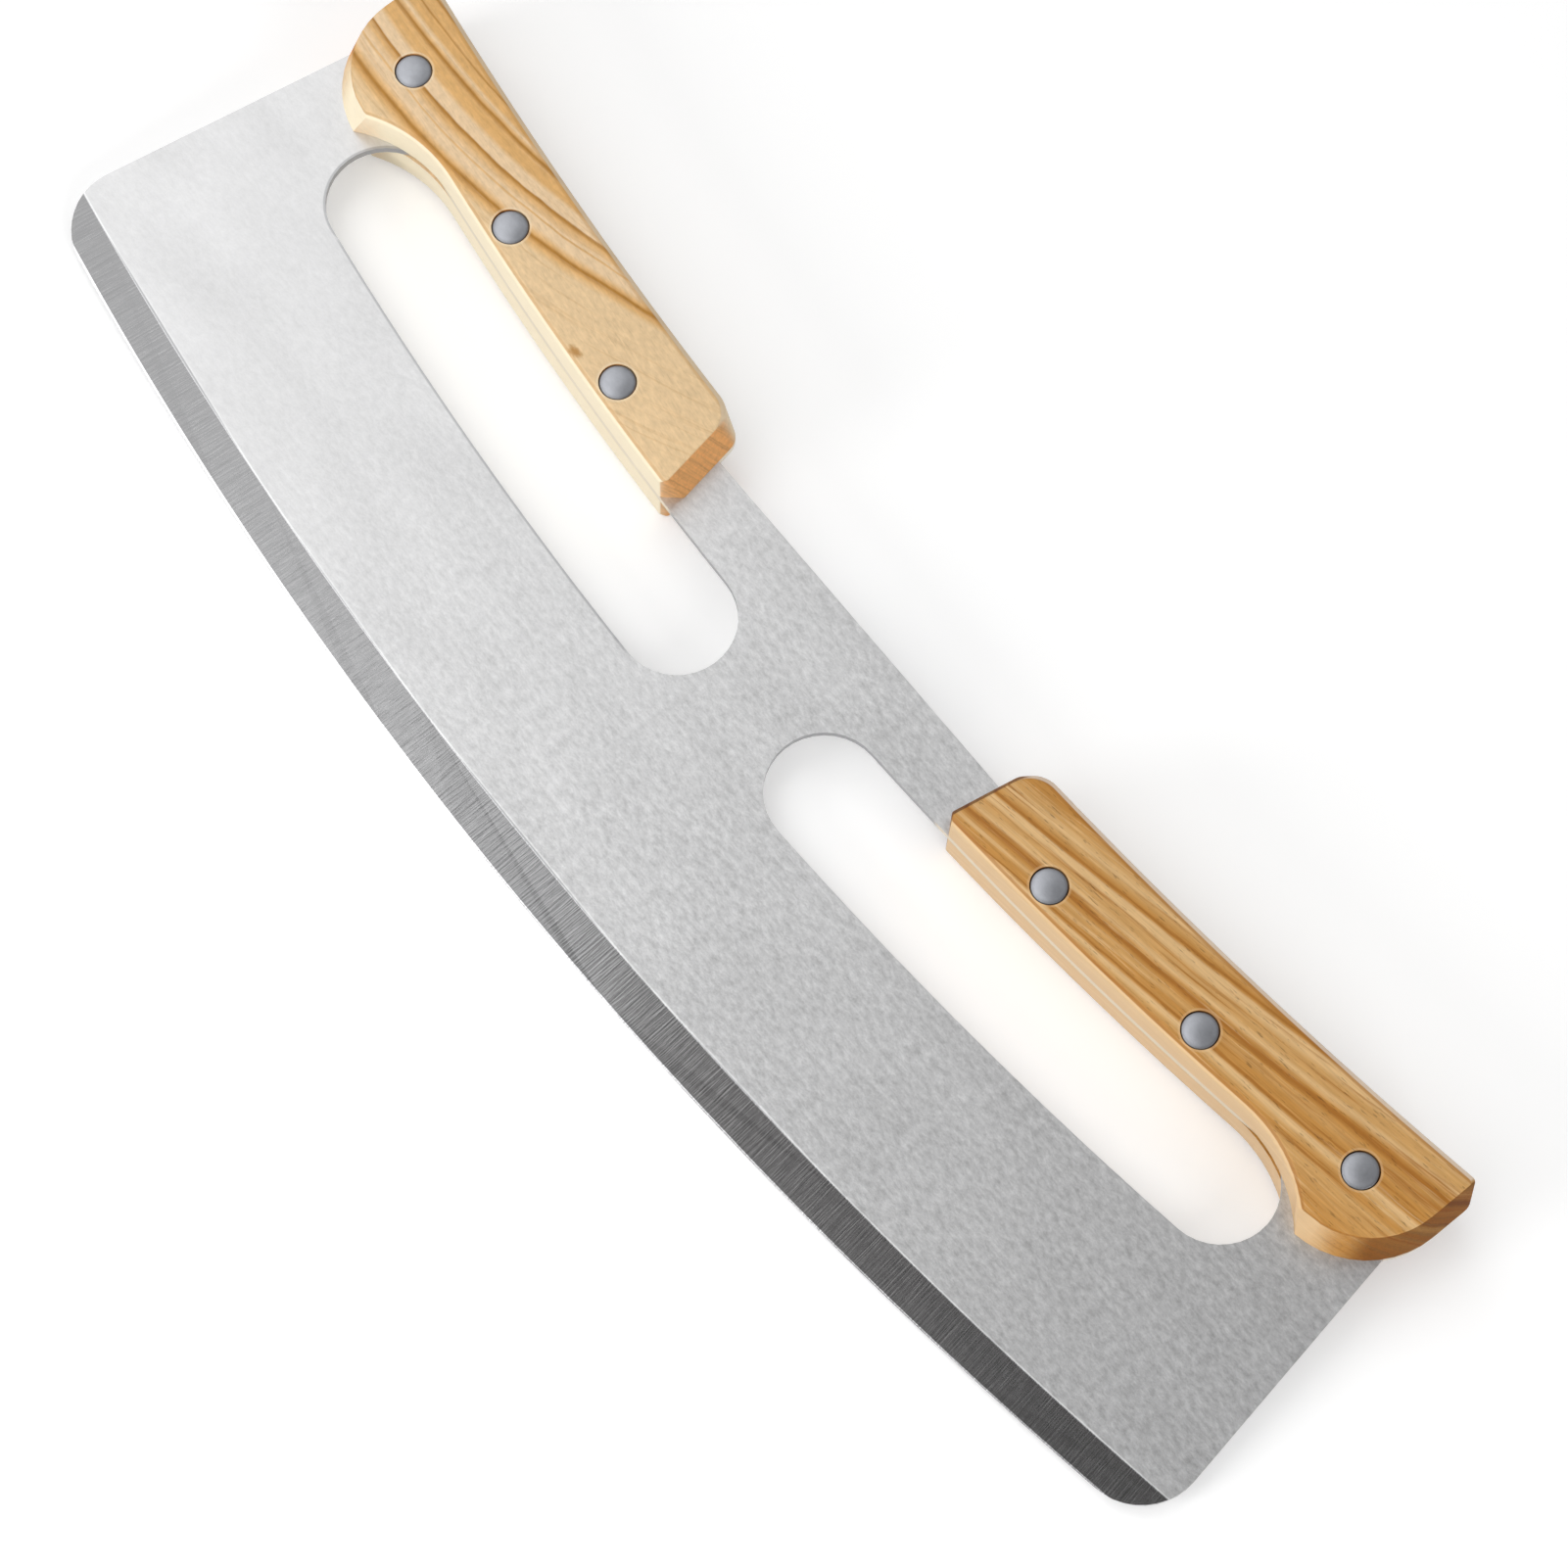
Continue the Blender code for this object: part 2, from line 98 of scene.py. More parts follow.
# Sizes of the finished pieces, with angles in degrees
TIGHT_SEAT = 0.00103
HEAD_HOLE_RADIUS = RIVET_HEAD_RADIUS + 0.00006
TANG_HOLE_RADIUS = SHANK_HOLE_RADIUS + 0.00003
RIVET_RIM_RADIUS = 0.0005
RIVET_RIM_DROP = 0.00018
RIVET_CROWN = 0.00025
RIM_SEGMENTS = 4
DOME_RINGS = 5
ROUND_SIDES = 48
EDGE_SEGMENTS = 3
WOOD_CREASE = 35
RIVET_CREASE = 40

# How near counts as doubled, on a plane or in a hole
MERGE_REACH = 0.000002
CAP_REACH = 0.000001
SNAP_REACH = 0.00001
PLANE_REACH = 0.00002
NEAR_REACH = 0.0002

# Which edges are flat, upright or sharp, with angles in degrees
FLAT_ANGLE = 0.2
UPRIGHT_RISE = 0.0005
SHARP_CORNER = 50
SHARP_EDGE = 22

MILLIMETRE = 0.001


# Small helpers

def deselect_all():
    """Clear the selection."""
    for item in bpy.context.selected_objects:
        item.select_set(False)


def choose(item):
    """Select one object alone and make it active."""
    deselect_all()
    item.select_set(True)
    bpy.context.view_layer.objects.active = item


def in_knife_frame(point):
    """A world point in the knife's own frame."""
    return KNIFE_FRAME.inverted() @ point


def in_mm(length):
    """A length in millimetres."""
    return length / MILLIMETRE


# Materials

class Number:
    """A number socket that Python arithmetic can work with."""

    def __init__(self, paint, socket):
        self.paint = paint
        self.socket = socket

    def __add__(self, other):
        return self.paint.maths("ADD", self, other)

    def __radd__(self, other):
        return self.paint.maths("ADD", other, self)

    def __sub__(self, other):
        return self.paint.maths("SUBTRACT", self, other)

    def __rsub__(self, other):
        return self.paint.maths("SUBTRACT", other, self)

    def __mul__(self, other):
        return self.paint.maths("MULTIPLY", self, other)

    def __rmul__(self, other):
        return self.paint.maths("MULTIPLY", other, self)

    def __truediv__(self, other):
        return self.paint.maths("DIVIDE", self, other)

    def __abs__(self):
        return self.paint.maths("ABSOLUTE", self)


class Paint:
    """One procedural material and the nodes that make it."""

    def __init__(self, name):
        self.material = bpy.data.materials.new(name)
        self.material.use_nodes = True
        self.tree = self.material.node_tree
        self.shader = self.tree.nodes["Principled BSDF"]
        self.output = self.tree.nodes["Material Output"]

    def node(self, kind, settings=None, inputs=None, output=0):
        """Add a node, give it its settings and then its inputs, and return one output."""
        node = self.tree.nodes.new("ShaderNode" + kind)
        for name, value in (settings or {}).items():
            if name == "stops":
                self.set_stops(node.color_ramp, value)
            else:
                setattr(node, name, value)
        for name, value in (inputs or {}).items():
            self.feed(node.inputs[name], value)
        return Number(self, node.outputs[output])

    def set_stops(self, ramp, stops):
        """Give a colour ramp its stops, as (position, colour) pairs."""
        while len(ramp.elements) < len(stops):
            ramp.elements.new(1.0)
        for element, (position, colour) in zip(ramp.elements, stops):
            element.position = position
            element.color = (*colour, 1.0)

    def feed(self, socket, value):
        """Link a socket to an output, or set its value."""
        if isinstance(value, Number):
            self.tree.links.new(value.socket, socket)
        elif socket.type == "RGBA":
            socket.default_value = (*value, 1.0)
        else:
            socket.default_value = value

    def maths(self, operation, *values):
        """A Math node."""
        return self.node("Math", {"operation": operation}, dict(enumerate(values)))

    def vector(self, x, y, z):
        """A vector made of three numbers."""
        return self.node("CombineXYZ", None, {"X": x, "Y": y, "Z": z})

    def split(self, vector):
        """The three numbers of a vector."""
        node = self.tree.nodes.new("ShaderNodeSeparateXYZ")
        self.feed(node.inputs[0], vector)
        return [Number(self, output) for output in node.outputs]

    def distance(self, off_x, off_y):
        """How far away something is that lies off by two numbers."""
        return self.maths("SQRT", off_x * off_x + off_y * off_y)

    def smooth(self, value, low, high):
        """A soft step from 0 at low to 1 at high, where low may be the larger of the two."""
        settings = {"interpolation_type": "SMOOTHSTEP"}
        inputs = {"Value": value, "From Min": low, "From Max": high}
        return self.node("MapRange", settings, inputs)

    def step(self, value, edge, softness):
        """A soft step from 0 to 1 around an edge."""
        return self.smooth(value, edge - softness, edge + softness)

    def line(self, value, middle, outer, inner):
        """A soft line: 0 outside the outer distance from its middle, and 1 inside the inner one."""
        return self.smooth(abs(value - middle), outer, inner)

    def noise(self, vector, detail=2.0, roughness=0.5):
        """Soft noise from -0.5 to 0.5, with one lump per unit of the vector."""
        inputs = {"Vector": vector, "Scale": 1.0, "Detail": detail, "Roughness": roughness}
        return self.node("TexNoise", None, inputs) - 0.5

    def grain(self, place, lump, detail=2.0, roughness=0.5):
        """Soft noise from -0.5 to 0.5, with lumps of a given length, width and depth."""
        lengths = [number / size for number, size in zip(place, lump)]
        return self.noise(self.vector(*lengths), detail, roughness)

    def mix(self, factor, first, second):
        """A colour between two colours."""
        settings = {"data_type": "RGBA"}
        return self.node("Mix", settings, {0: factor, 6: first, 7: second}, output=2)

    def dim(self, colour, factor):
        """A colour times a number."""
        return self.node("VectorMath", {"operation": "SCALE"}, {0: colour, "Scale": factor})

    def tint(self, colour, filter_colour):
        """A colour times another colour."""
        return self.node("VectorMath", {"operation": "MULTIPLY"}, {0: colour, 1: filter_colour})

    def facing(self, direction):
        """How far the surface faces a direction, from -1 to 1."""
        normal = self.node("NewGeometry", output=1)
        settings = {"operation": "DOT_PRODUCT"}
        return self.node("VectorMath", settings, {0: normal, 1: direction}, output=1)

    def knife_place(self):
        """Place on the knife, in its own frame and in millimetres."""
        place = self.node("TexCoord", output=3)
        return self.placed(place, EDGE_PLACE, (REST_TILT, 0.0, 0.0), MILLIMETRE)

    def placed(self, place, origin, turn, unit):
        """A place seen from another origin, turned, and measured in another unit."""
        inputs = {"Vector": place, "Location": origin, "Rotation": turn, "Scale": (unit,) * 3}
        return self.node("Mapping", {"vector_type": "TEXTURE"}, inputs)

    def bump(self, height, distance, strength):
        """A normal from a height that runs from -0.5 to 0.5."""
        inputs = {"Height": height, "Distance": distance, "Strength": strength}
        return self.node("Bump", None, inputs)

    def finish(self, **inputs):
        """Feed the shader's inputs, named with underscores for spaces."""
        for name, value in inputs.items():
            self.feed(self.shader.inputs[name.replace("_", " ")], value)
        return self.material


def handle_across(x, y):
    """Millimetres across a handle, from its middle line towards the spine, on either side."""
    off_x = abs(x) - in_mm(HANDLE_MIDDLE.x)
    off_y = y - in_mm(HANDLE_MIDDLE.y)
    return off_y * math.cos(HANDLE_LEAN) - off_x * math.sin(HANDLE_LEAN)


def past_arc(paint, x, y, centre, radius):
    """Millimetres past an arc in the plate's plane, whose centre lies above the knife's middle."""
    return paint.distance(x, in_mm(centre) - y) - in_mm(radius)


def nearest_rivet(paint, x, y):
    """Millimetres to the nearest rivet's axis."""
    nearest = None
    for centre_x, centre_y in RIVET_CENTRES:
        away = paint.distance(abs(x) - in_mm(centre_x), y - in_mm(centre_y))
        nearest = away if nearest is None else paint.maths("MINIMUM", nearest, away)
    return nearest


# Steel. Grains are in millimetres: along the blade or its edge, across it, and through it
SPECKLE_GRAIN = (2.6, 1.3, 1.0)
SPECKLE_CRISPNESS = 0.82
CLOUD_GRAIN = (30.0, 12.0, 1.0)
GRIND_GRAIN = (0.42, 9.0, 9.0)
FINE_GRIND_GRAIN = (0.14, 5.0, 9.0)

# Places on the plate in millimetres, as the two ends of a soft step or the widths of a soft line
SPECKLE_GROWS = (-150.0, 40.0)
# Where the ground edge's painted dark reflection starts and is full
DARK_REFLECTION_STARTS = (0.0, 70.0)
BEVEL_STARTS = (0.0, 0.12)
# Places of the painted highlights: the honed edge, and the line where the ground edge starts
HONED_HIGHLIGHT_STARTS = (-0.45, -0.3)
BURR_HIGHLIGHT_WIDTHS = (0.32, 0.05)
# The dark line of painted shadow along the left slot
SLOT_SHADOW_MIDDLE = 0.2
SLOT_SHADOW_WIDTHS = (0.45, 0.1)
SLOT_SIDE_ENDS = (57.0, 53.0)
SLOT_END_STARTS = (1.0, -1.0)
WALL_STARTS = (in_mm(HALF_PLATE) - 0.02, in_mm(HALF_PLATE) - 0.04)
TANG_EDGE = -10.0
TANG_EDGE_SOFTNESS = 0.5
HANDLE_START_SOFTNESS = 1.0

# Strengths in the steel's finish, and its bump's height in metres and strength
LEAST_SPECKLE = 0.35
CLOUD_TONE = 0.22
BEVEL_CLOUD_TONE = 0.06
FINE_GRIND_TONE = 0.12
# Painted highlight: the honed edge's brightness and the bright lines' colour
HONED_HIGHLIGHT = 0.9
WALL_STRENGTH = 0.8
HIGHLIGHT_STEEL = (0.95, 0.95, 0.96)
FACE_ROUGHNESS = 0.40
SPECKLE_ROUGHNESS = 0.15
BEVEL_POLISH = 0.19
SPECKLE_RELIEF = 0.5
STEEL_BUMP = (0.00012, 0.4)


def steel_faces(paint, look, x, speckle, cloud):
    """Colour of the plate's faces. Their speckle grows stronger away from the pale end."""
    growth = LEAST_SPECKLE + paint.smooth(x, *SPECKLE_GROWS) * (1 - LEAST_SPECKLE)
    tone = 1 + speckle * growth * look.speckle + cloud * CLOUD_TONE
    return paint.dim(look.face_colour, tone)


def ground_edge(paint, look, along_edge, lines, fine_lines, cloud):
    """Colour of the ground edge, with painted dark reflection on the half near the warm handle."""
    dark_reflection = paint.smooth(along_edge, *DARK_REFLECTION_STARTS)
    colour = paint.mix(dark_reflection, look.bevel_colour, look.dark_reflection_bevel_colour)
    tone = 1 + lines * look.grind_lines + fine_lines * FINE_GRIND_TONE + cloud * BEVEL_CLOUD_TONE
    return paint.dim(colour, tone)


def painted_edge_highlights(paint, look, x, y, past_line):
    """Painted highlights on the steel: the line where the ground edge starts, and the honed edge
    itself.
    """
    burr_highlight = paint.line(past_line, 0.0, *BURR_HIGHLIGHT_WIDTHS)
    honed = paint.smooth(past_arc(paint, x, y, EDGE_CENTRE, EDGE_RADIUS), *HONED_HIGHLIGHT_STARTS)
    return paint.maths("MAXIMUM", burr_highlight * look.burr_highlight, honed * HONED_HIGHLIGHT)


def left_slot_painted_shadow(paint, x, y):
    """Where painted shadow lines the left slot: along the slot's lower side and round its outer end."""
    past_side = past_arc(paint, x, y, EDGE_CENTRE, SLOT_RIM_RADIUS)
    on_side = paint.line(past_side, SLOT_SHADOW_MIDDLE, *SLOT_SHADOW_WIDTHS)
    on_side = on_side * paint.line(x, in_mm(LEFT_SLOT_MIDDLE), *SLOT_SIDE_ENDS)
    off_x = x - in_mm(LEFT_SLOT_END.x)
    off_y = y - in_mm(LEFT_SLOT_END.y)
    past_end = paint.distance(off_x, off_y) - in_mm(SLOT_END_RADIUS)
    on_end = paint.line(past_end, SLOT_SHADOW_MIDDLE, *SLOT_SHADOW_WIDTHS) * paint.smooth(off_x, *SLOT_END_STARTS)
    return paint.maths("MAXIMUM", on_side, on_end)


def cut_walls(paint, look, x, y):
    """Colour of the plate's cut walls. A tang's edge, sanding-flush with the wood, has a painted
    reflection of it.
    """
    in_handle = paint.step(abs(x), in_mm(HANDLE_START), HANDLE_START_SOFTNESS)
    on_tang = paint.step(handle_across(x, y), TANG_EDGE, TANG_EDGE_SOFTNESS) * in_handle
    # Painted reflection: the tang edges' warm colour is the wood's reflection
    return paint.mix(on_tang, look.wall_colour, look.tang_reflection_colour)


def blade_steel(look):
    """Stainless sheet: fine speckle on its faces, a ground edge with lines across it."""
    paint = Paint("blade_steel_finish")
    x, y, z = paint.split(paint.knife_place())
    past_line = past_arc(paint, x, y, GRIND_LINE_CENTRE, GRIND_LINE_RADIUS)
    turn = paint.maths("ARCTAN2", x, in_mm(GRIND_LINE_CENTRE) - y)
    along_edge = turn * in_mm(GRIND_LINE_RADIUS)
    on_bevel = paint.smooth(past_line, *BEVEL_STARTS)
    on_wall = paint.smooth(abs(z), *WALL_STARTS) * (1 - on_bevel)

    speckle = paint.grain((x, y, z), SPECKLE_GRAIN, detail=5.0, roughness=SPECKLE_CRISPNESS)
    cloud = paint.grain((x, y, z), CLOUD_GRAIN)
    lines = paint.grain((along_edge, past_line, z), GRIND_GRAIN)
    fine_lines = paint.grain((along_edge, past_line, z), FINE_GRIND_GRAIN)

    face = steel_faces(paint, look, x, speckle, cloud)
    bevel = ground_edge(paint, look, along_edge, lines, fine_lines, cloud)
    colour = paint.mix(on_bevel, face, bevel)
    # Painted highlights where the ground edge starts and on the honed edge
    colour = paint.mix(painted_edge_highlights(paint, look, x, y, past_line), colour, HIGHLIGHT_STEEL)
    # Painted shadow: a dark line along the left slot, in the cut walls' colour
    on_slot_shadow = left_slot_painted_shadow(paint, x, y) * look.slot_painted_shadow
    colour = paint.mix(on_slot_shadow, colour, look.wall_colour)
    colour = paint.mix(on_wall * WALL_STRENGTH, colour, cut_walls(paint, look, x, y))
    roughness = FACE_ROUGHNESS + speckle * SPECKLE_ROUGHNESS - on_bevel * BEVEL_POLISH
    height = speckle * SPECKLE_RELIEF * (1 - on_bevel) + lines * on_bevel
    normal = paint.bump(height, *STEEL_BUMP)
    return paint.finish(Base_Color=colour, Metallic=1.0, Roughness=roughness, Normal=normal)


# Rivet steel. Grains and radii are in millimetres, and the bump is a height in metres and a strength
SATIN_GRAIN = (0.6, 0.25, 0.6)
SPOT_GRAIN = (1.7, 1.7, 1.7)
# Painted shade darkens each rivet head towards its rim
SHADED_RIM_RADII = (3.9, 2.9)
SHADED_RIM_TONE = 0.6
SATIN_TONE = 0.22
SPOT_TONE = 0.2
RIVET_ROUGHNESS = 0.42
SATIN_ROUGHNESS = 0.12
RIVET_BUMP = (0.00003, 0.25)


def rivet_steel(look):
    """Satin rivet steel, with cloudy spots and a rim darkened by painted shade."""
    paint = Paint("rivet_steel_finish")
    x, y, z = paint.split(paint.knife_place())
    satin = paint.grain((x, y, z), SATIN_GRAIN, detail=3.0)
    spots = paint.grain((x, y, z), SPOT_GRAIN)
    # Painted shade: the head darkens towards its rim
    inside = paint.smooth(nearest_rivet(paint, x, y), *SHADED_RIM_RADII)
    tone = SHADED_RIM_TONE + inside * (1 - SHADED_RIM_TONE) + satin * SATIN_TONE + spots * SPOT_TONE
    colour = paint.dim(look.rivet_colour, tone)
    roughness = RIVET_ROUGHNESS + satin * SATIN_ROUGHNESS
    normal = paint.bump(satin, *RIVET_BUMP)
    return paint.finish(Base_Color=colour, Metallic=1.0, Roughness=roughness, Normal=normal)


# Wood. Grains are in millimetres: outwards along the handle, across it, and into the board
WANDER_GRAIN = (34.0, 11.0, 11.0)
RIPPLE_GRAIN = (7.0, 1.8, 1.8)
RIPPLE_REACH = 0.5
STREAK_GRAIN = (40.0, 0.95, 40.0)
STREAK_CRISPNESS = 0.62
FIBRE_GRAIN = (9.0, 0.45, 0.45)
MOTTLE_GRAIN = (1.6, 0.9, 0.9)
PORE_GRAIN = (2.4, 0.3, 0.3)

# How the rings lie on the two boards
PALE_SLANT = 0.338
PALE_CURVE = 0.0028
WARM_SLANT = 0.05
WARM_FAN = 0.004

# Where noise turns into streaks or pores
DARK_STREAKS = (0.03, 0.22)
LIGHT_STREAKS = (-0.03, -0.22)
PORES_START = (0.12, 0.22)

# The small knot in the front face, with its place in millimetres from the handle's middle
KNOT_OUTWARD = -27.0
KNOT_ACROSS = -5.4
KNOT_LENGTH = 1.5
KNOT_SLANT = 0.3
KNOT_WIDTHS = (1.5, 0.4)
KNOT_RAGGEDNESS = 1.5
KNOT_DEPTHS = (8.0, 9.0)

# Places on a scale in millimetres
HALO_MIDDLE = 4.2
HALO_WIDTHS = (0.4, 0.1)
SPINE_LINE_MIDDLE = 0.3
SPINE_LINE_WIDTHS = (0.6, 0.1)
CHAMFER_SOFTNESS = 0.1

# How squarely a surface faces a side where that side's finish starts and is full
WALL_FACES = (0.25, 0.6)
SLOT_SIDE_FACES = (0.0, 0.1)
INNER_END_FACES = (-0.5, -0.9)
END_GROWTH = 0.25
# Near the outer end, which lies in shade, the walls' painted light is left off
UNLIT_BEFORE_END = 0.35
UNLIT_PAST_END = 0.05

# Strengths in the woods' finish, and its bump's height in metres and strength
HALO_STRENGTH = 0.25
# The spine side's walls below the chamfer get less painted light
SPINE_WALL_SHADE = 0.55
END_STREAKS = 1.4
WOOD_ROUGHNESS = 0.46
FIBRE_ROUGHNESS = 0.14
END_ROUGHNESS = 0.3
PORE_RELIEF = -0.6
WOOD_BUMP = (0.00006, 0.35)
WOOD_SHEEN = 0.25


class Board:
    """Where a point is on a handle's board, in millimetres, and which part of the scale it is on."""

    def __init__(self, paint, side):
        knife_place = paint.knife_place()
        self.x, self.y, _ = paint.split(knife_place)
        origin = (side * in_mm(HANDLE_MIDDLE.x), in_mm(HANDLE_MIDDLE.y), 0.0)
        turned = paint.placed(knife_place, origin, (0.0, 0.0, side * HANDLE_LEAN), 1.0)
        local_x, self.across, self.deep = paint.split(turned)
        self.outward = local_x * side
        self.place = (self.outward, self.across, self.deep)

        outward_axis = side * math.cos(HANDLE_LEAN) * ALONG + math.sin(HANDLE_LEAN) * ACROSS
        across_axis = -side * math.sin(HANDLE_LEAN) * ALONG + math.cos(HANDLE_LEAN) * ACROSS
        slotward = paint.facing(-across_axis)
        self.facing_out = paint.facing(outward_axis)
        self.on_wall = paint.smooth(abs(slotward), *WALL_FACES)
        self.slot_side = paint.smooth(slotward, *SLOT_SIDE_FACES)
        chamfer_foot = in_mm(SCALE_FACE - SIDE_CHAMFER)
        self.on_chamfer = paint.step(abs(self.deep), chamfer_foot, CHAMFER_SOFTNESS)
        near_face = paint.step(abs(self.deep), in_mm(CHAMFER_MIDDLE), CHAMFER_SOFTNESS)
        self.near_face = near_face * self.slot_side


def growth_rings(paint, look, board, ring_place):
    """Place across the growth rings, in millimetres, with their wander and ripple."""
    wander = paint.grain(board.place, WANDER_GRAIN, detail=1.0)
    ripple = paint.grain(board.place, RIPPLE_GRAIN)
    slope = (board.deep - in_mm(SCALE_FACE)) * look.ring_slope
    rings = ring_place(board.outward, board.across) + slope
    return rings + wander * look.wander + ripple * RIPPLE_REACH


def ring_colour(paint, look, rings, tones):
    """Colour of the growth rings, from (place in millimetres, tone) pairs across them."""
    colours = {"plain": look.plain, "light": look.light, "golden": look.golden, "dark": look.line}
    low, high = tones[0][0], tones[-1][0]
    stops = [((place - low) / (high - low), colours[tone]) for place, tone in tones]
    position = paint.node("MapRange", None, {"Value": rings, "From Min": low, "From Max": high})
    return paint.node("ValToRGB", {"stops": stops}, {0: position})


def add_streaks(paint, look, colour, streak):
    """Dark and light streaks along the growth rings."""
    dark = paint.smooth(streak, *DARK_STREAKS) * look.streaks
    colour = paint.mix(dark, colour, look.line)
    light = paint.smooth(streak, *LIGHT_STREAKS) * look.streaks
    return paint.mix(light, colour, look.light)


def add_knot(paint, look, board, colour, mottle):
    """A small slanted knot in the front face."""
    off_x = (board.outward - KNOT_OUTWARD) / KNOT_LENGTH
    off_y = board.across - KNOT_ACROSS + off_x * KNOT_SLANT
    away = paint.distance(off_x, off_y)
    knot = paint.smooth(away + mottle * KNOT_RAGGEDNESS, *KNOT_WIDTHS)
    knot = knot * paint.smooth(board.deep, *KNOT_DEPTHS)
    return paint.mix(knot * look.knot, colour, look.line)


def add_face_lines(paint, look, board, colour):
    """Pale rings round the rivets, and a dark line along each long edge of the face."""
    halo = paint.line(nearest_rivet(paint, board.x, board.y), HALO_MIDDLE, *HALO_WIDTHS)
    colour = paint.mix(halo * HALO_STRENGTH, colour, look.sanded)
    slot_line = board.on_wall * board.near_face * look.edge_line
    colour = paint.mix(slot_line, colour, look.line)
    back_edge = HANDLE_BACK_RADIUS + SIDE_CHAMFER
    from_back_edge = past_arc(paint, board.x, board.y, HANDLE_BACK_CENTRE, back_edge)
    spine_line = paint.line(from_back_edge, SPINE_LINE_MIDDLE, *SPINE_LINE_WIDTHS)
    spine_line = spine_line * (1 - board.on_wall) * look.edge_line
    return paint.mix(spine_line, colour, look.line)


def paint_walls_sanded_and_lit(paint, look, board, colour):
    """Walls made pale by sanding and by painted light, which is left off near the shaded outer end."""
    spine_side = paint.mix(board.on_chamfer, look.sanded, look.spine_edge)
    sanded = paint.mix(board.slot_side, spine_side, look.sanded)
    unlit_starts = look.end_reach - UNLIT_BEFORE_END
    unlit_end = paint.smooth(board.facing_out, unlit_starts, look.end_reach + UNLIT_PAST_END)
    lit_share = 1 - (1 - board.slot_side) * (1 - board.on_chamfer) * SPINE_WALL_SHADE
    # Painted light: the walls' pale colour, weaker on the spine's walls and left off near the outer end
    pale = board.on_wall * (1 - board.near_face) * (1 - unlit_end) * lit_share * look.paling
    return paint.mix(pale, colour, sanded)


def on_end(paint, look, board):
    """Where the scale's two ends are."""
    outer = paint.smooth(board.facing_out, look.end_reach, look.end_reach + END_GROWTH)
    inner = paint.smooth(board.facing_out, *INNER_END_FACES)
    return paint.maths("MAXIMUM", outer, inner)


def wood(name, look, side, ring_place, tones):
    """Oiled wood, cut from one board per handle: growth rings, fibres, pores and end grain.

    side is -1 for the left handle and 1 for the right one. ring_place gives the place across the
    rings from the distance outwards and across the board.
    """
    paint = Paint(name)
    board = Board(paint, side)
    rings = growth_rings(paint, look, board, ring_place)
    streak_place = (board.outward, rings, board.deep)
    streak = paint.grain(streak_place, STREAK_GRAIN, detail=3.0, roughness=STREAK_CRISPNESS)
    fibres = paint.grain(board.place, FIBRE_GRAIN, detail=3.0)
    mottle = paint.grain(board.place, MOTTLE_GRAIN, detail=3.0)
    pores = paint.smooth(paint.grain(board.place, PORE_GRAIN), *PORES_START)

    colour = add_streaks(paint, look, ring_colour(paint, look, rings, tones), streak)
    tone = 1 + fibres * look.fibres + mottle * look.mottle - pores * look.pores
    colour = paint.dim(colour, tone)
    if look.knot > 0.0:
        colour = add_knot(paint, look, board, colour, mottle)
    end_grain = paint.dim(paint.tint(colour, look.end_tint), 1 + streak * END_STREAKS)
    colour = add_face_lines(paint, look, board, colour)
    colour = paint_walls_sanded_and_lit(paint, look, board, colour)
    end = on_end(paint, look, board)
    colour = paint.mix(end, colour, end_grain)

    roughness = WOOD_ROUGHNESS + fibres * FIBRE_ROUGHNESS + end * END_ROUGHNESS
    normal = paint.bump(fibres + pores * PORE_RELIEF, *WOOD_BUMP)
    return paint.finish(Base_Color=colour, Roughness=roughness, Normal=normal,
                        Specular_IOR_Level=WOOD_SHEEN)


def pale_rings(outward, across):
    """The left board was sawn at a slant: its rings cross the handle and curve on the way."""
    return across + outward * PALE_SLANT - outward * outward * PALE_CURVE


def warm_rings(outward, across):
    """The right board was sawn along its rings, which fan out a little towards the back."""
    return across - outward * (across * WARM_FAN + WARM_SLANT)


# Tones across each board's growth rings, with their places in millimetres
PALE_TONES = ((-12.0, "plain"), (-2.4, "plain"), (-0.6, "golden"), (0.3, "dark"), (0.65, "dark"),
              (1.2, "golden"), (2.6, "light"), (4.3, "light"), (4.7, "golden"), (5.0, "light"),
              (7.0, "golden"), (7.75, "dark"), (8.0, "dark"), (8.3, "light"), (10.4, "light"),
              (11.5, "golden"), (13.9, "golden"), (14.7, "dark"), (14.95, "dark"), (15.3, "golden"),
              (16.1, "light"), (16.9, "golden"), (18.6, "golden"), (18.9, "dark"), (19.3, "golden"),
              (21.3, "golden"), (21.7, "dark"), (22.3, "light"), (28.0, "plain"))
WARM_TONES = ((-13.0, "golden"), (-8.0, "plain"), (-6.6, "golden"), (-5.6, "plain"), (-4.9, "light"),
              (-4.3, "light"), (-3.8, "golden"), (-3.4, "dark"), (-3.0, "golden"), (-1.8, "golden"),
              (-0.6, "plain"), (0.6, "golden"), (1.3, "dark"), (1.8, "dark"), (2.3, "golden"),
              (3.3, "light"), (4.2, "plain"), (6.0, "plain"), (7.0, "light"), (8.4, "light"),
              (8.9, "golden"), (9.4, "dark"), (9.9, "golden"), (11.2, "plain"), (12.4, "light"),
              (14.0, "plain"), (17.0, "golden"))


# Paper
FIBRES_PER_METRE = 900.0
FIBRE_TONE = 0.01
PAPER_ROUGHNESS = 0.9


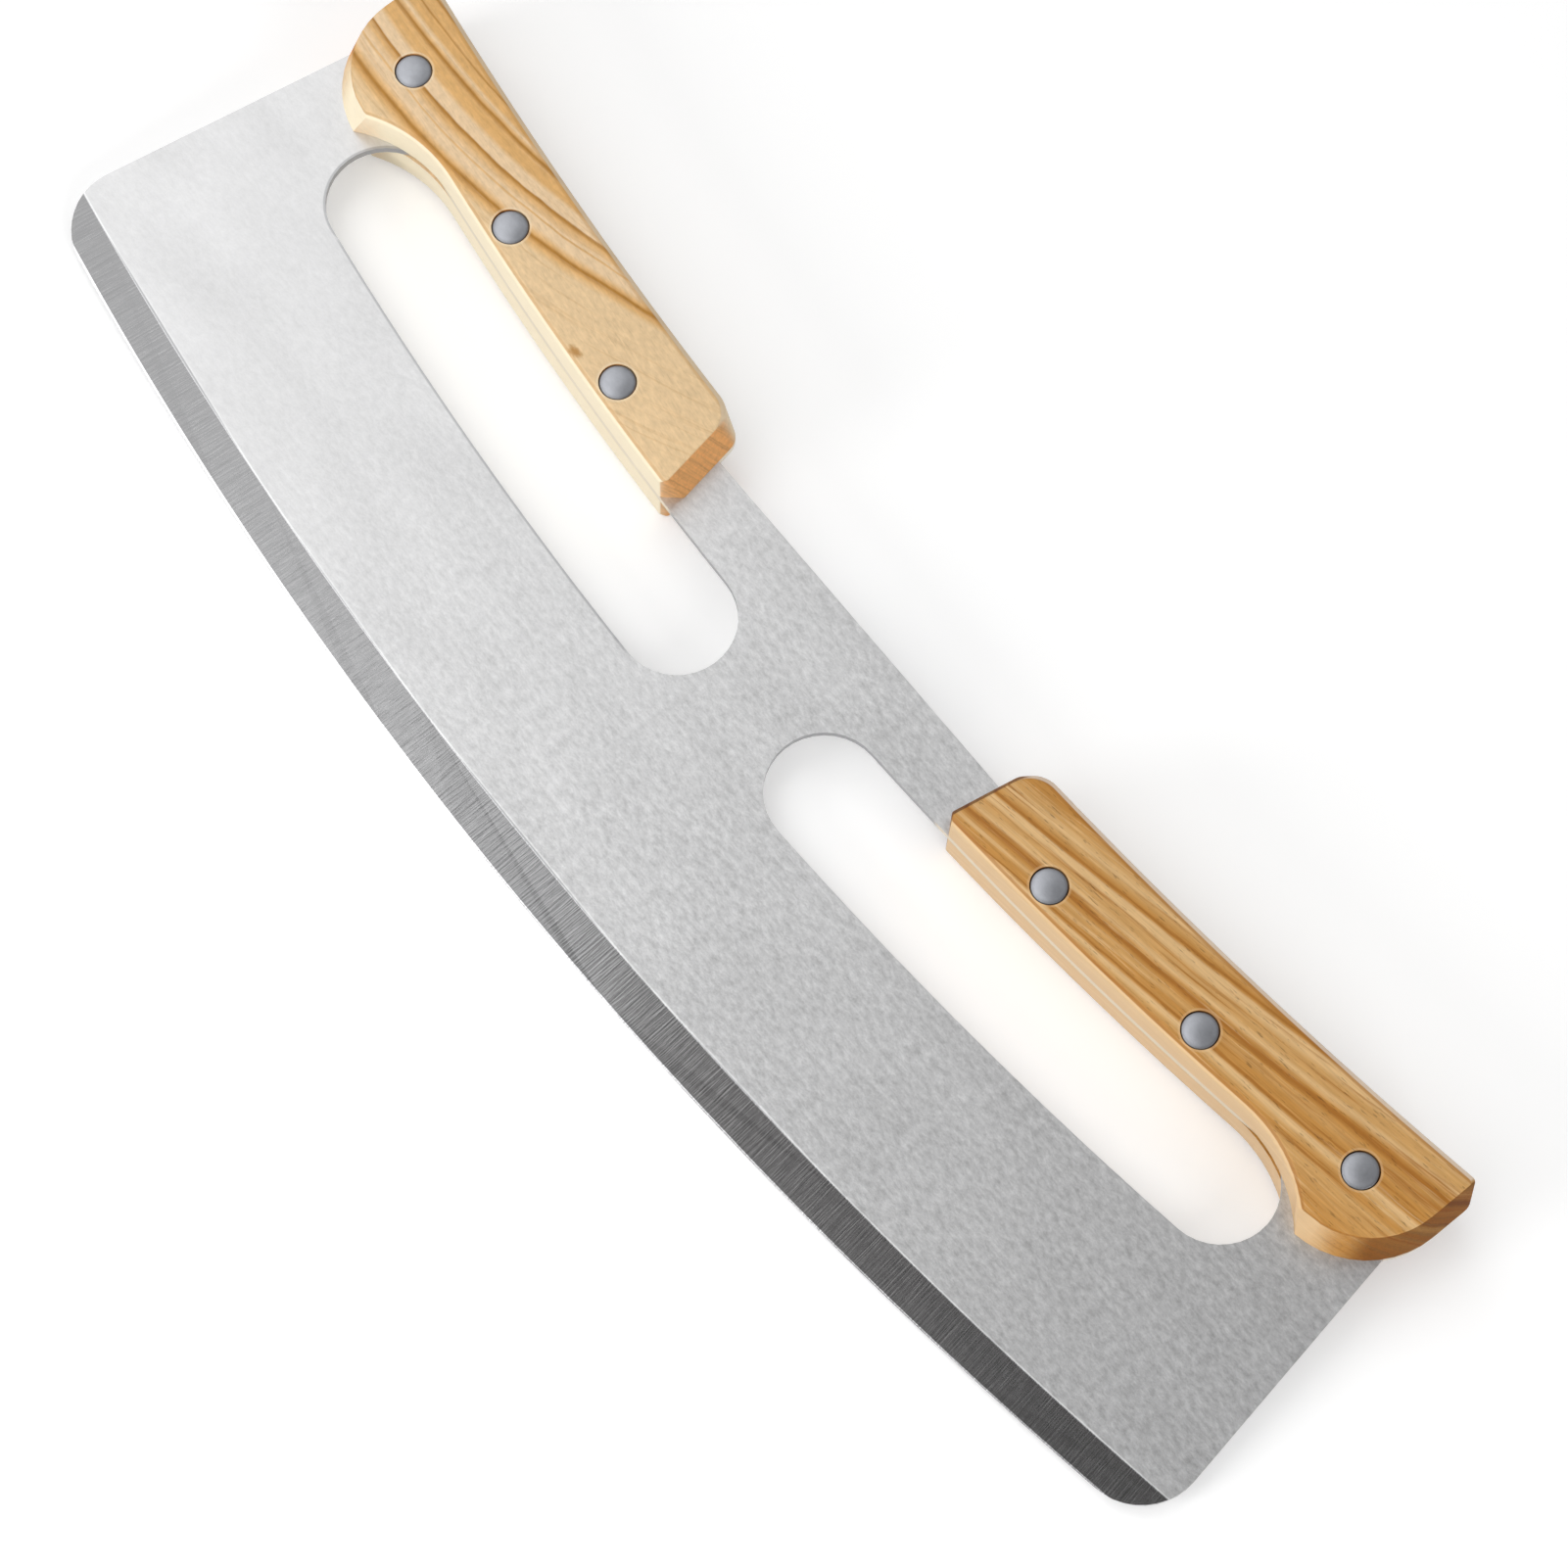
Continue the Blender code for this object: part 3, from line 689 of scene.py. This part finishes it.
def studio_floor(look):
    """White paper that is bright to the camera and in reflections, and still takes a shadow."""
    paint = Paint("studio_paper")
    place = paint.node("TexCoord", output=3)
    fibre = paint.noise(paint.dim(place, FIBRES_PER_METRE))
    colour = paint.dim(look.paper_colour, 1 + fibre * FIBRE_TONE)
    rays = paint.tree.nodes.new("ShaderNodeLightPath")
    seen = Number(paint, rays.outputs["Is Camera Ray"])
    for kind in ("Is Glossy Ray", "Is Transmission Ray"):
        seen = paint.maths("MAXIMUM", seen, Number(paint, rays.outputs[kind]))
    glow = paint.node("Emission", None, {"Color": (1.0, 1.0, 1.0), "Strength": look.paper_glow})
    paint.finish(Base_Color=colour, Roughness=PAPER_ROUGHNESS)
    body = Number(paint, paint.shader.outputs[0])
    both = paint.node("AddShader", None, {0: body, 1: glow})
    mixed = paint.node("MixShader", None, {0: seen, 1: body, 2: both})
    paint.feed(paint.output.inputs["Surface"], mixed)
    return paint.material


# Pieces

def select_where(piece, kind, test):
    """In edit mode, select only the faces or vertices of a piece that pass a test."""
    bpy.ops.mesh.select_mode(type=kind)
    bpy.ops.mesh.select_all(action="DESELECT")
    mesh_data = bmesh.from_edit_mesh(piece.data)
    for element in mesh_data.faces if kind == "FACE" else mesh_data.verts:
        element.select_set(test(element))
    bmesh.update_edit_mesh(piece.data)


def merge_flats(piece):
    """Merge a piece's doubled vertices, and the triangles that lie in one plane."""
    choose(piece)
    bpy.ops.object.mode_set(mode="EDIT")
    bpy.ops.mesh.select_all(action="SELECT")
    bpy.ops.mesh.remove_doubles(threshold=MERGE_REACH)
    bpy.ops.mesh.dissolve_limited(angle_limit=math.radians(FLAT_ANGLE))
    bpy.ops.object.mode_set(mode="OBJECT")


def piece_from(node, name):
    """A merged copy of one solid, as a new piece of the knife in the same place."""
    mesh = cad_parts[node].data.copy()
    mesh.name = name
    mesh.materials.clear()
    piece = bpy.data.objects.new(name, mesh)
    bpy.context.scene.collection.objects.link(piece)
    choose(piece)
    if mesh.has_custom_normals:
        bpy.ops.mesh.customdata_custom_splitnormals_clear()
    merge_flats(piece)
    return piece


def seat(piece, node, material):
    """Give a finished piece its material, and let it stand for its solid."""
    piece.data.materials.append(material)
    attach(piece, "root")
    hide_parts(node)


def turn_piece(piece, turn):
    """Turn and move a piece by a matrix, and apply it."""
    choose(piece)
    piece.matrix_world = turn
    bpy.ops.object.transform_apply(location=True, rotation=True, scale=True)


def combine(piece, other, operation):
    """Join another solid to a piece, or cut it out of the piece, and remove the other."""
    choose(piece)
    boolean = piece.modifiers.new("boolean", "BOOLEAN")
    boolean.operation = operation
    boolean.solver = "EXACT"
    boolean.object = other
    bpy.ops.object.modifier_apply(modifier=boolean.name)
    bpy.data.objects.remove(other, do_unlink=True)


def soften_edges(piece, chosen, width):
    """Round the edges that a test picks from an edge and its two ends in the knife's frame."""
    choose(piece)
    bpy.ops.object.mode_set(mode="EDIT")
    bpy.ops.mesh.select_mode(type="EDGE")
    bpy.ops.mesh.select_all(action="DESELECT")
    mesh_data = bmesh.from_edit_mesh(piece.data)
    for edge in mesh_data.edges:
        ends = [in_knife_frame(vertex.co) for vertex in edge.verts]
        if len(edge.link_faces) == 2 and chosen(edge, ends):
            edge.select_set(True)
    bmesh.update_edit_mesh(piece.data)
    bpy.ops.mesh.bevel(offset=width, segments=EDGE_SEGMENTS, profile=0.5, clamp_overlap=False)
    bpy.ops.object.mode_set(mode="OBJECT")


def smooth_by_angle(piece, degrees):
    """Shade a piece smooth, except across edges sharper than the angle."""
    choose(piece)
    bpy.ops.object.shade_smooth_by_angle(angle=math.radians(degrees))


def scale_edge(edge, ends):
    """Whether sanding has softened an edge of a scale: a long edge or a sharp corner."""
    on_seat = all(abs(end.z) < SCALE_SEAT + NEAR_REACH for end in ends)
    upright = abs(ends[0].z - ends[1].z) > UPRIGHT_RISE
    sharpness = math.degrees(edge.calc_face_angle(0.0))
    return not on_seat and sharpness > (SHARP_CORNER if upright else SHARP_EDGE)


def by_rivet(point):
    """Whether a point in the knife's frame is within the solids' hole for a rivet."""
    place = Vector((abs(point.x), point.y))
    reach = SOLID_HOLE_RADIUS + NEAR_REACH
    return any((place - Vector(centre)).length < reach for centre in RIVET_CENTRES)


def in_hole_or_flat(face):
    """Whether a scale's face is in a rivet hole, on the seat or on the outer face."""
    corners = [in_knife_frame(vertex.co) for vertex in face.verts]
    heights = [abs(corner.z) for corner in corners]
    on_seat = max(heights) < SCALE_SEAT + PLANE_REACH
    on_face = min(heights) > SCALE_FACE - PLANE_REACH
    return on_seat or on_face or all(by_rivet(corner) for corner in corners)


def at_seat(vertex):
    """Whether a scale's vertex is at its seat."""
    return abs(in_knife_frame(vertex.co).z) < SCALE_SEAT + PLANE_REACH


def close_rivet_holes(scale, face_side):
    """Take the holes out of a scale, seat it tightly on the tang, and close its seat and face again."""
    choose(scale)
    bpy.ops.object.mode_set(mode="EDIT")
    select_where(scale, "FACE", in_hole_or_flat)
    bpy.ops.mesh.delete(type="FACE")
    select_where(scale, "VERT", at_seat)
    to_tang = Vector((0.0, 0.0, -face_side * (SCALE_SEAT - TIGHT_SEAT)))
    bpy.ops.transform.translate(value=KNIFE_FRAME.to_3x3() @ to_tang)
    bpy.ops.mesh.select_all(action="SELECT")
    bpy.ops.mesh.fill_holes(sides=0)
    bpy.ops.mesh.select_all(action="SELECT")
    bpy.ops.mesh.normals_make_consistent(inside=False)
    bpy.ops.object.mode_set(mode="OBJECT")


def add_hole_cutter(place, radius, low, high):
    """A cylinder that cuts a hole across the knife, between two heights above its middle plane."""
    deselect_all()
    bpy.ops.mesh.primitive_cylinder_add(
        vertices=ROUND_SIDES, radius=radius, depth=high - low, rotation=KNIFE_FRAME.to_euler(),
        location=KNIFE_FRAME @ Vector((place[0], place[1], (low + high) / 2)))
    return bpy.context.object


def cut_rivet_holes(scale, side, face_side):
    """Cut the stepped rivet holes into a scale: wide for the head, narrow for the shank."""
    head_seat = SCALE_FACE - RIVET_HEAD_SINK
    steps = ((HEAD_HOLE_RADIUS, head_seat - FIT, SCALE_FACE + FIT),
             (SHANK_HOLE_RADIUS, SCALE_SEAT - FIT, head_seat))
    for centre_x, centre_y in RIVET_CENTRES:
        for radius, low, high in steps:
            low, high = sorted((face_side * low, face_side * high))
            cutter = add_hole_cutter((side * centre_x, centre_y), radius, low, high)
            combine(scale, cutter, "DIFFERENCE")


def snapped(value, marks):
    """A value, or the mark that it lies within a hundredth of a millimetre of."""
    for mark in marks:
        if abs(value - mark) < SNAP_REACH:
            return mark
    return value


def square_up(plate):
    """Put the plate's faces and its spine exactly on their planes, in the knife's own frame."""
    for vertex in plate.data.vertices:
        vertex.co.z = snapped(vertex.co.z, (-HALF_PLATE, HALF_PLATE))
        vertex.co.y = snapped(vertex.co.y, (SPINE_HEIGHT,))


def above_seat(face):
    """Whether a face of a scale in the knife's own frame reaches above its seat."""
    return any(vertex.co.z > TIGHT_SEAT + SNAP_REACH for vertex in face.verts)


def tang_blank(side):
    """What a tang has above the plain spine, in the knife's own frame.

    It is the seat of the handle's front scale, cut along the spine and extruded.
    """
    blank = piece_from(f"{side}_front_scale", "tang_blank")
    close_rivet_holes(blank, 1)
    turn_piece(blank, KNIFE_FRAME.inverted())
    bpy.ops.object.mode_set(mode="EDIT")
    select_where(blank, "FACE", above_seat)
    bpy.ops.mesh.delete(type="FACE")
    bpy.ops.mesh.select_all(action="SELECT")
    spine_line = (0.0, SPINE_HEIGHT, 0.0)
    bpy.ops.mesh.bisect(plane_co=spine_line, plane_no=(0.0, 1.0, 0.0), clear_inner=True)
    mesh_data = bmesh.from_edit_mesh(blank.data)
    for vertex in mesh_data.verts:
        vertex.co.z = -HALF_PLATE
        vertex.co.y = snapped(vertex.co.y, (SPINE_HEIGHT,))
    bmesh.update_edit_mesh(blank.data)
    bpy.ops.mesh.select_all(action="SELECT")
    bpy.ops.mesh.extrude_region_move(TRANSFORM_OT_translate={"value": (0.0, 0.0, 2 * HALF_PLATE)})
    bpy.ops.mesh.select_all(action="SELECT")
    bpy.ops.mesh.normals_make_consistent(inside=False)
    bpy.ops.object.mode_set(mode="OBJECT")
    return blank


def complete_tangs(plate):
    """Carry both tangs on to the backs of their scales, with the outer rivets' holes through them."""
    turn_piece(plate, KNIFE_FRAME.inverted())
    square_up(plate)
    centre_x, centre_y = RIVET_CENTRES[-1]
    for side, signed in SIDES:
        combine(plate, tang_blank(side), "UNION")
        deselect_all()
        bpy.ops.mesh.primitive_cylinder_add(
            vertices=ROUND_SIDES, radius=TANG_HOLE_RADIUS, depth=2 * SCALE_SEAT,
            location=(signed * centre_x, centre_y, 0.0))
        combine(plate, bpy.context.object, "DIFFERENCE")
    turn_piece(plate, KNIFE_FRAME)
    merge_flats(plate)


# Settings that a user can change

def number_setting(name, description, default, **limits):
    """A number."""
    return bpy.props.FloatProperty(name=name, description=description, default=default, **limits)


def amount_setting(name, description, default, **limits):
    """A number that is never below 0."""
    return number_setting(name, description, default, min=0.0, **limits)


def strength_setting(name, description, default):
    """A number from 0 to 1."""
    return amount_setting(name, description, default, max=1.0, subtype="FACTOR")


def colour_setting(name, description, default):
    """A colour."""
    return bpy.props.FloatVectorProperty(name=name, description=description, default=default,
                                         size=3, min=0.0, max=1.0, subtype="COLOR")


class KnifeSteelLook(bpy.types.PropertyGroup):
    """Finish of the plate and the rivets."""

    face_colour: colour_setting("Face", "Colour of the plate's faces", (0.66, 0.66, 0.663))
    bevel_colour: colour_setting(
        "Ground edge", "Colour of the ground edge near the pale handle", (0.26, 0.26, 0.263))
    # Painted dark reflection: the darker ground edge near the warm handle
    dark_reflection_bevel_colour: colour_setting(
        "Dark ground edge", "Colour of the ground edge near the warm handle", (0.185, 0.182, 0.182))
    wall_colour: colour_setting("Cut walls", "Colour of the plate's cut walls", (0.30, 0.30, 0.31))
    # Painted reflection: the tang edges' warm colour stands for the wood they reflect
    tang_reflection_colour: colour_setting(
        "Tang edges", "Colour of the tangs' edges, sanded flush with the wood", (0.74, 0.64, 0.48))
    rivet_colour: colour_setting("Rivets", "Colour of the rivets", (0.40, 0.41, 0.44))
    speckle: amount_setting("Speckle", "Contrast of the speckle on the faces", 1.35, max=2.0)
    grind_lines: strength_setting(
        "Grinding lines", "Contrast of the lines across the ground edge", 0.35)
    # The bright line is a painted highlight
    burr_highlight: strength_setting(
        "Bright line", "Strength of the bright line where the ground edge starts", 0.5)
    # The dark line along the left slot is painted shadow
    slot_painted_shadow: strength_setting("Slot rim", "Strength of the dark rolled rim along the left slot", 0.6)


# What each setting of a handle's wood is, with its name and description
WOOD_SETTINGS = {
    "plain": (colour_setting, "Plain", "Colour of the plain wood"),
    "light": (colour_setting, "Light", "Colour between growth rings and of the light streaks"),
    "golden": (colour_setting, "Golden", "Colour beside a growth ring"),
    "line": (colour_setting, "Ring", "Colour of a growth ring's dark line"),
    # The edges' pale colours are partly sanding and partly painted light
    "sanded": (colour_setting, "Sanded", "Colour of the sanded edges"),
    "spine_edge": (colour_setting, "Spine edge", "Colour of the sanded edge on the spine's side"),
    "edge_line": (strength_setting, "Edge line", "Strength of the dark line along the face's edges"),
    "ring_slope": (number_setting, "Ring slope", "Shift of the rings per depth of the board"),
    "wander": (amount_setting, "Wander", "How far the rings stray, in millimetres"),
    "streaks": (strength_setting, "Streaks", "Strength of the thin streaks along the rings"),
    "fibres": (strength_setting, "Fibres", "Contrast of the fibres"),
    "pores": (strength_setting, "Pores", "Darkness of the pores"),
    "mottle": (strength_setting, "Mottle", "Contrast of the cloudy figure"),
    # Paling sets how strongly the walls are painted pale, by sanding and painted light
    "paling": (strength_setting, "Paling", "How pale the sanded edges are"),
    "end_tint": (colour_setting, "End grain", "Tint that the oil gives to the end grain"),
    "end_reach": (strength_setting, "End reach",
                  "How squarely a surface faces outwards where end grain starts"),
    "knot": (strength_setting, "Knot", "Strength of the small knot"),
}


def wood_settings(**defaults):
    """The settings of one handle's wood, from their defaults."""
    return {key: kind(name, description, defaults[key])
            for key, (kind, name, description) in WOOD_SETTINGS.items()}


class KnifePaleWoodLook(bpy.types.PropertyGroup):
    """Finish of the left handle's wood."""

    __annotations__ = wood_settings(
        plain=(0.76, 0.55, 0.315), light=(0.79, 0.575, 0.35), golden=(0.70, 0.41, 0.155),
        line=(0.42, 0.195, 0.035), sanded=(0.97, 0.88, 0.67), spine_edge=(0.82, 0.66, 0.46),
        edge_line=0.35, ring_slope=0.35, wander=1.3, streaks=0.25, fibres=0.25, pores=0.10,
        mottle=0.42, paling=0.8, end_tint=(0.97, 0.67, 0.43), end_reach=0.57, knot=0.85)


class KnifeWarmWoodLook(bpy.types.PropertyGroup):
    """Finish of the right handle's wood."""

    __annotations__ = wood_settings(
        plain=(0.57, 0.32, 0.11), light=(0.68, 0.44, 0.205), golden=(0.50, 0.24, 0.055),
        line=(0.36, 0.14, 0.02), sanded=(0.83, 0.60, 0.35), spine_edge=(1.0, 0.84, 0.68),
        edge_line=0.6, ring_slope=0.45, wander=0.8, streaks=0.85, fibres=0.5, pores=0.4,
        mottle=0.12, paling=0.75, end_tint=(0.45, 0.33, 0.17), end_reach=0.42, knot=0.0)


class KnifeSizes(bpy.types.PropertyGroup):
    """Small sizes of the finish."""

    scale_softness: amount_setting(
        "Handle edges", "Width of the rounding on the handles' edges", 0.0003, unit="LENGTH")


class KnifeStudioLook(bpy.types.PropertyGroup):
    """Lamps, paper and camera."""

    room: amount_setting("Room light", "Strength of the even light from all round", 0.20)
    left_power: amount_setting(
        "Left softbox", "Power of the softbox that the steel reflects", 15.9, unit="POWER")
    back_power: amount_setting(
        "Back softbox", "Power of the softbox behind the spine", 2.1, unit="POWER")
    front_power: amount_setting(
        "Front softbox", "Power of the high softbox on the viewer's side", 11.2, unit="POWER")
    fill_power: amount_setting(
        "Edge light", "Power of the low softbox on the cutting edge's side", 14.0, unit="POWER")
    right_power: amount_setting(
        "Right light", "Power of the low softbox at the warm handle's end", 14.2, unit="POWER")
    paper_colour: colour_setting("Paper", "Colour of the paper", (0.80, 0.80, 0.80))
    paper_glow: amount_setting("Paper glow", "Brightness that the paper adds for the camera", 0.31)
    lens: number_setting(
        "Lens", "Focal length of the camera in millimetres", 96.5, min=1.0, unit="CAMERA")


class KNIFE_OT_blade(bpy.types.Operator):
    """Finish the stainless plate"""

    bl_idname = "knife.blade"
    bl_label = "Blade"

    def execute(self, context):
        plate = piece_from("blade", "steel_plate")
        complete_tangs(plate)
        seat(plate, "blade", blade_steel(context.scene.knife_steel))
        return {"FINISHED"}


class KNIFE_OT_scales(bpy.types.Operator):
    """Finish the four wooden handle scales"""

    bl_idname = "knife.scales"
    bl_label = "Handle scales"

    def execute(self, context):
        scene = context.scene
        woods = {
            "left": wood("pale_wood_finish", scene.knife_pale_wood, -1, pale_rings, PALE_TONES),
            "right": wood("warm_wood_finish", scene.knife_warm_wood, 1, warm_rings, WARM_TONES),
        }
        for side, signed in SIDES:
            for face, face_side in FACES:
                node = f"{side}_{face}_scale"
                scale = piece_from(node, f"{side}_{face}_grip")
                close_rivet_holes(scale, face_side)
                soften_edges(scale, scale_edge, scene.knife_sizes.scale_softness)
                cut_rivet_holes(scale, signed, face_side)
                smooth_by_angle(scale, WOOD_CREASE)
                seat(scale, node, woods[side])
        return {"FINISHED"}


def select_cap(piece, height):
    """In edit mode, select only the faces that lie flat at one height of the object."""
    def at_height(face):
        return all(abs(vertex.co.z - height) < CAP_REACH for vertex in face.verts)
    select_where(piece, "FACE", at_height)


def raise_dome(radius, height):
    """Turn the selected round face into a shallow dome, ring by ring."""
    radii = [radius * (1 - ring / (DOME_RINGS + 1)) for ring in range(DOME_RINGS + 1)]
    for outer, inner in zip(radii, radii[1:]):
        rise = height * (outer ** 2 - inner ** 2) / radius ** 2
        bpy.ops.mesh.inset(thickness=outer - inner, depth=0.0)
        bpy.ops.transform.translate(value=(0.0, 0.0, rise))


def extrude_cap(radius, inner_radius, distance):
    """Inset the selected round face to a smaller radius, and extrude it along Z."""
    bpy.ops.mesh.inset(thickness=radius - inner_radius, depth=0.0)
    bpy.ops.mesh.extrude_region_move(TRANSFORM_OT_translate={"value": (0.0, 0.0, distance)})


def model_rivet_half(name, shank_radius, shank_end, bore_radius=0.0, bore_floor=0.0):
    """A rivet half on the world's Z: domed head with a rounded rim, shank and, in a tube, its bore.

    Heights are those above the plate's middle plane, so the shank runs down past zero.
    """
    deselect_all()
    top = SCALE_FACE - RIVET_RIM_DROP
    bottom = SCALE_FACE - RIVET_HEAD_SINK
    bpy.ops.mesh.primitive_cylinder_add(
        vertices=ROUND_SIDES, radius=RIVET_HEAD_RADIUS, depth=top - bottom,
        location=(0.0, 0.0, (top + bottom) / 2))
    half = bpy.context.object
    half.name = name
    bpy.ops.object.transform_apply(location=True, rotation=True, scale=True)
    bpy.ops.object.mode_set(mode="EDIT")
    select_cap(half, top)
    bpy.ops.mesh.bevel(offset=RIVET_RIM_RADIUS, segments=RIM_SEGMENTS, profile=0.5)
    select_cap(half, top)
    raise_dome(RIVET_HEAD_RADIUS - RIVET_RIM_RADIUS, RIVET_CROWN + RIVET_RIM_DROP)
    select_cap(half, bottom)
    extrude_cap(RIVET_HEAD_RADIUS, shank_radius, shank_end - bottom)
    if bore_radius:
        extrude_cap(shank_radius, bore_radius, bore_floor - shank_end)
    bpy.ops.object.mode_set(mode="OBJECT")
    smooth_by_angle(half, RIVET_CREASE)
    return half


def place_rivet_half(half, side, centre, from_back):
    """Put a rivet half in its place on the knife, from the front or the back."""
    flip = Matrix.Rotation(math.pi, 4, "X") if from_back else Matrix.Identity(4)
    place = Matrix.Translation((side * centre[0], centre[1], 0.0))
    turn_piece(half, KNIFE_FRAME @ place @ flip)


class KNIFE_OT_rivets(bpy.types.Operator):
    """Model the six cutler's rivets, each of a tube half and a pin half"""

    bl_idname = "knife.rivets"
    bl_label = "Rivets"

    def execute(self, context):
        material = rivet_steel(context.scene.knife_steel)
        head_seat = SCALE_FACE - RIVET_HEAD_SINK
        floor = head_seat - TUBE_FLOOR
        halves = {
            "tube": (TUBE_RADIUS, FIT - head_seat, PIN_RADIUS + FIT, floor),
            "pin": (PIN_RADIUS, FIT - floor),
        }
        for side, signed in SIDES:
            for number, centre in enumerate(RIVET_CENTRES, start=1):
                for kind, sizes in halves.items():
                    node = f"{side}_rivet_{number}_{kind}"
                    half = model_rivet_half(node + "_half", *sizes)
                    place_rivet_half(half, signed, centre, kind == "pin")
                    seat(half, node, material)
        return {"FINISHED"}


# Studio: the camera's turn is in degrees, and its sensor in millimetres
STUDIO_MIDDLE = Vector((0.0, 0.0, 0.0))
PAPER_SIZE = 6.0
ROOM_COLOUR = (1.0, 1.0, 1.0, 1.0)
CAMERA_PLACE = (0.200837, -0.275622, 0.790752)
CAMERA_TURN = (21.93564, -7.10545, 50.58306)
SENSOR_WIDTH = 36.0

# Each softbox's name, its direction from the middle, its distance and size, and its power's name
SOFTBOXES = (
    ("left_softbox", (-0.62, 0.0, 0.78), 2.2, 2.0, "left_power"),
    ("back_softbox", (0.0, 0.6, 0.8), 2.0, 1.4, "back_power"),
    ("right_softbox", (0.9, -0.05, 0.42), 1.8, 1.2, "right_power"),
    ("front_softbox", (-0.10, -0.55, 0.83), 2.0, 1.4, "front_power"),
    ("edge_softbox", (-0.25, -0.9, 0.32), 1.8, 0.7, "fill_power"),
)


def add_softbox(name, direction, distance, size, power):
    """A square area lamp that faces the middle from a direction."""
    place = STUDIO_MIDDLE + Vector(direction).normalized() * distance
    bpy.ops.object.light_add(type="AREA", location=place)
    lamp = bpy.context.object
    lamp.name = name
    lamp.data.shape = "SQUARE"
    lamp.data.size = size
    lamp.data.energy = power
    lamp.rotation_euler = (STUDIO_MIDDLE - place).to_track_quat("-Z", "Y").to_euler()


def add_paper(look):
    """The white paper that the knife lies on."""
    deselect_all()
    bpy.ops.mesh.primitive_plane_add(size=PAPER_SIZE, location=STUDIO_MIDDLE)
    paper = bpy.context.object
    paper.name = "paper_sweep"
    paper.data.materials.append(studio_floor(look))


def add_room_light(scene, strength):
    """Even light from all round."""
    world = bpy.data.worlds.new("studio_room")
    world.use_nodes = True
    room = world.node_tree.nodes["Background"]
    room.inputs["Color"].default_value = ROOM_COLOUR
    room.inputs["Strength"].default_value = strength
    scene.world = world


def add_camera(scene, lens):
    """The camera, at the photograph's place."""
    bpy.ops.object.camera_add(location=CAMERA_PLACE)
    camera = bpy.context.object
    camera.name = "product_camera"
    camera.rotation_euler = [math.radians(turn) for turn in CAMERA_TURN]
    camera.data.sensor_width = SENSOR_WIDTH
    camera.data.lens = lens
    scene.camera = camera


class KNIFE_OT_studio(bpy.types.Operator):
    """Add the paper, the lamps, the room light and the camera"""

    bl_idname = "knife.studio"
    bl_label = "Studio"

    def execute(self, context):
        look = context.scene.knife_studio
        add_paper(look)
        for name, direction, distance, size, power in SOFTBOXES:
            add_softbox(name, direction, distance, size, getattr(look, power))
        add_room_light(context.scene, look.room)
        add_camera(context.scene, look.lens)
        context.scene.view_settings.view_transform = "Standard"
        return {"FINISHED"}


class KNIFE_PT_panel(bpy.types.Panel):
    """Sidebar panel of the knife"""

    bl_idname = "KNIFE_PT_panel"
    bl_label = "Pizza Rocker Knife"
    bl_space_type = "VIEW_3D"
    bl_region_type = "UI"
    bl_category = "Knife"

    def draw(self, context):
        for operator in OPERATORS:
            self.layout.operator(operator.bl_idname)
        for name in LOOKS:
            box = self.layout.box()
            look = getattr(context.scene, name)
            for prop in look.bl_rna.properties:
                if prop.identifier not in ("rna_type", "name"):
                    box.prop(look, prop.identifier)


LOOKS = {
    "knife_steel": KnifeSteelLook,
    "knife_pale_wood": KnifePaleWoodLook,
    "knife_warm_wood": KnifeWarmWoodLook,
    "knife_sizes": KnifeSizes,
    "knife_studio": KnifeStudioLook,
}
OPERATORS = (KNIFE_OT_blade, KNIFE_OT_scales, KNIFE_OT_rivets, KNIFE_OT_studio)


def register():
    """Register the classes and put the looks on the scene."""
    for name, look in LOOKS.items():
        bpy.utils.register_class(look)
        setattr(bpy.types.Scene, name, bpy.props.PointerProperty(type=look))
    for item in OPERATORS + (KNIFE_PT_panel,):
        bpy.utils.register_class(item)


def unregister():
    """Take the classes and the looks away again."""
    for item in reversed(OPERATORS + (KNIFE_PT_panel,)):
        bpy.utils.unregister_class(item)
    for name, look in LOOKS.items():
        delattr(bpy.types.Scene, name)
        bpy.utils.unregister_class(look)


def main():
    """Build the finished knife in its studio."""
    register()
    bpy.ops.knife.blade()
    bpy.ops.knife.scales()
    bpy.ops.knife.rivets()
    bpy.ops.knife.studio()


if __name__ == "__main__":
    main()
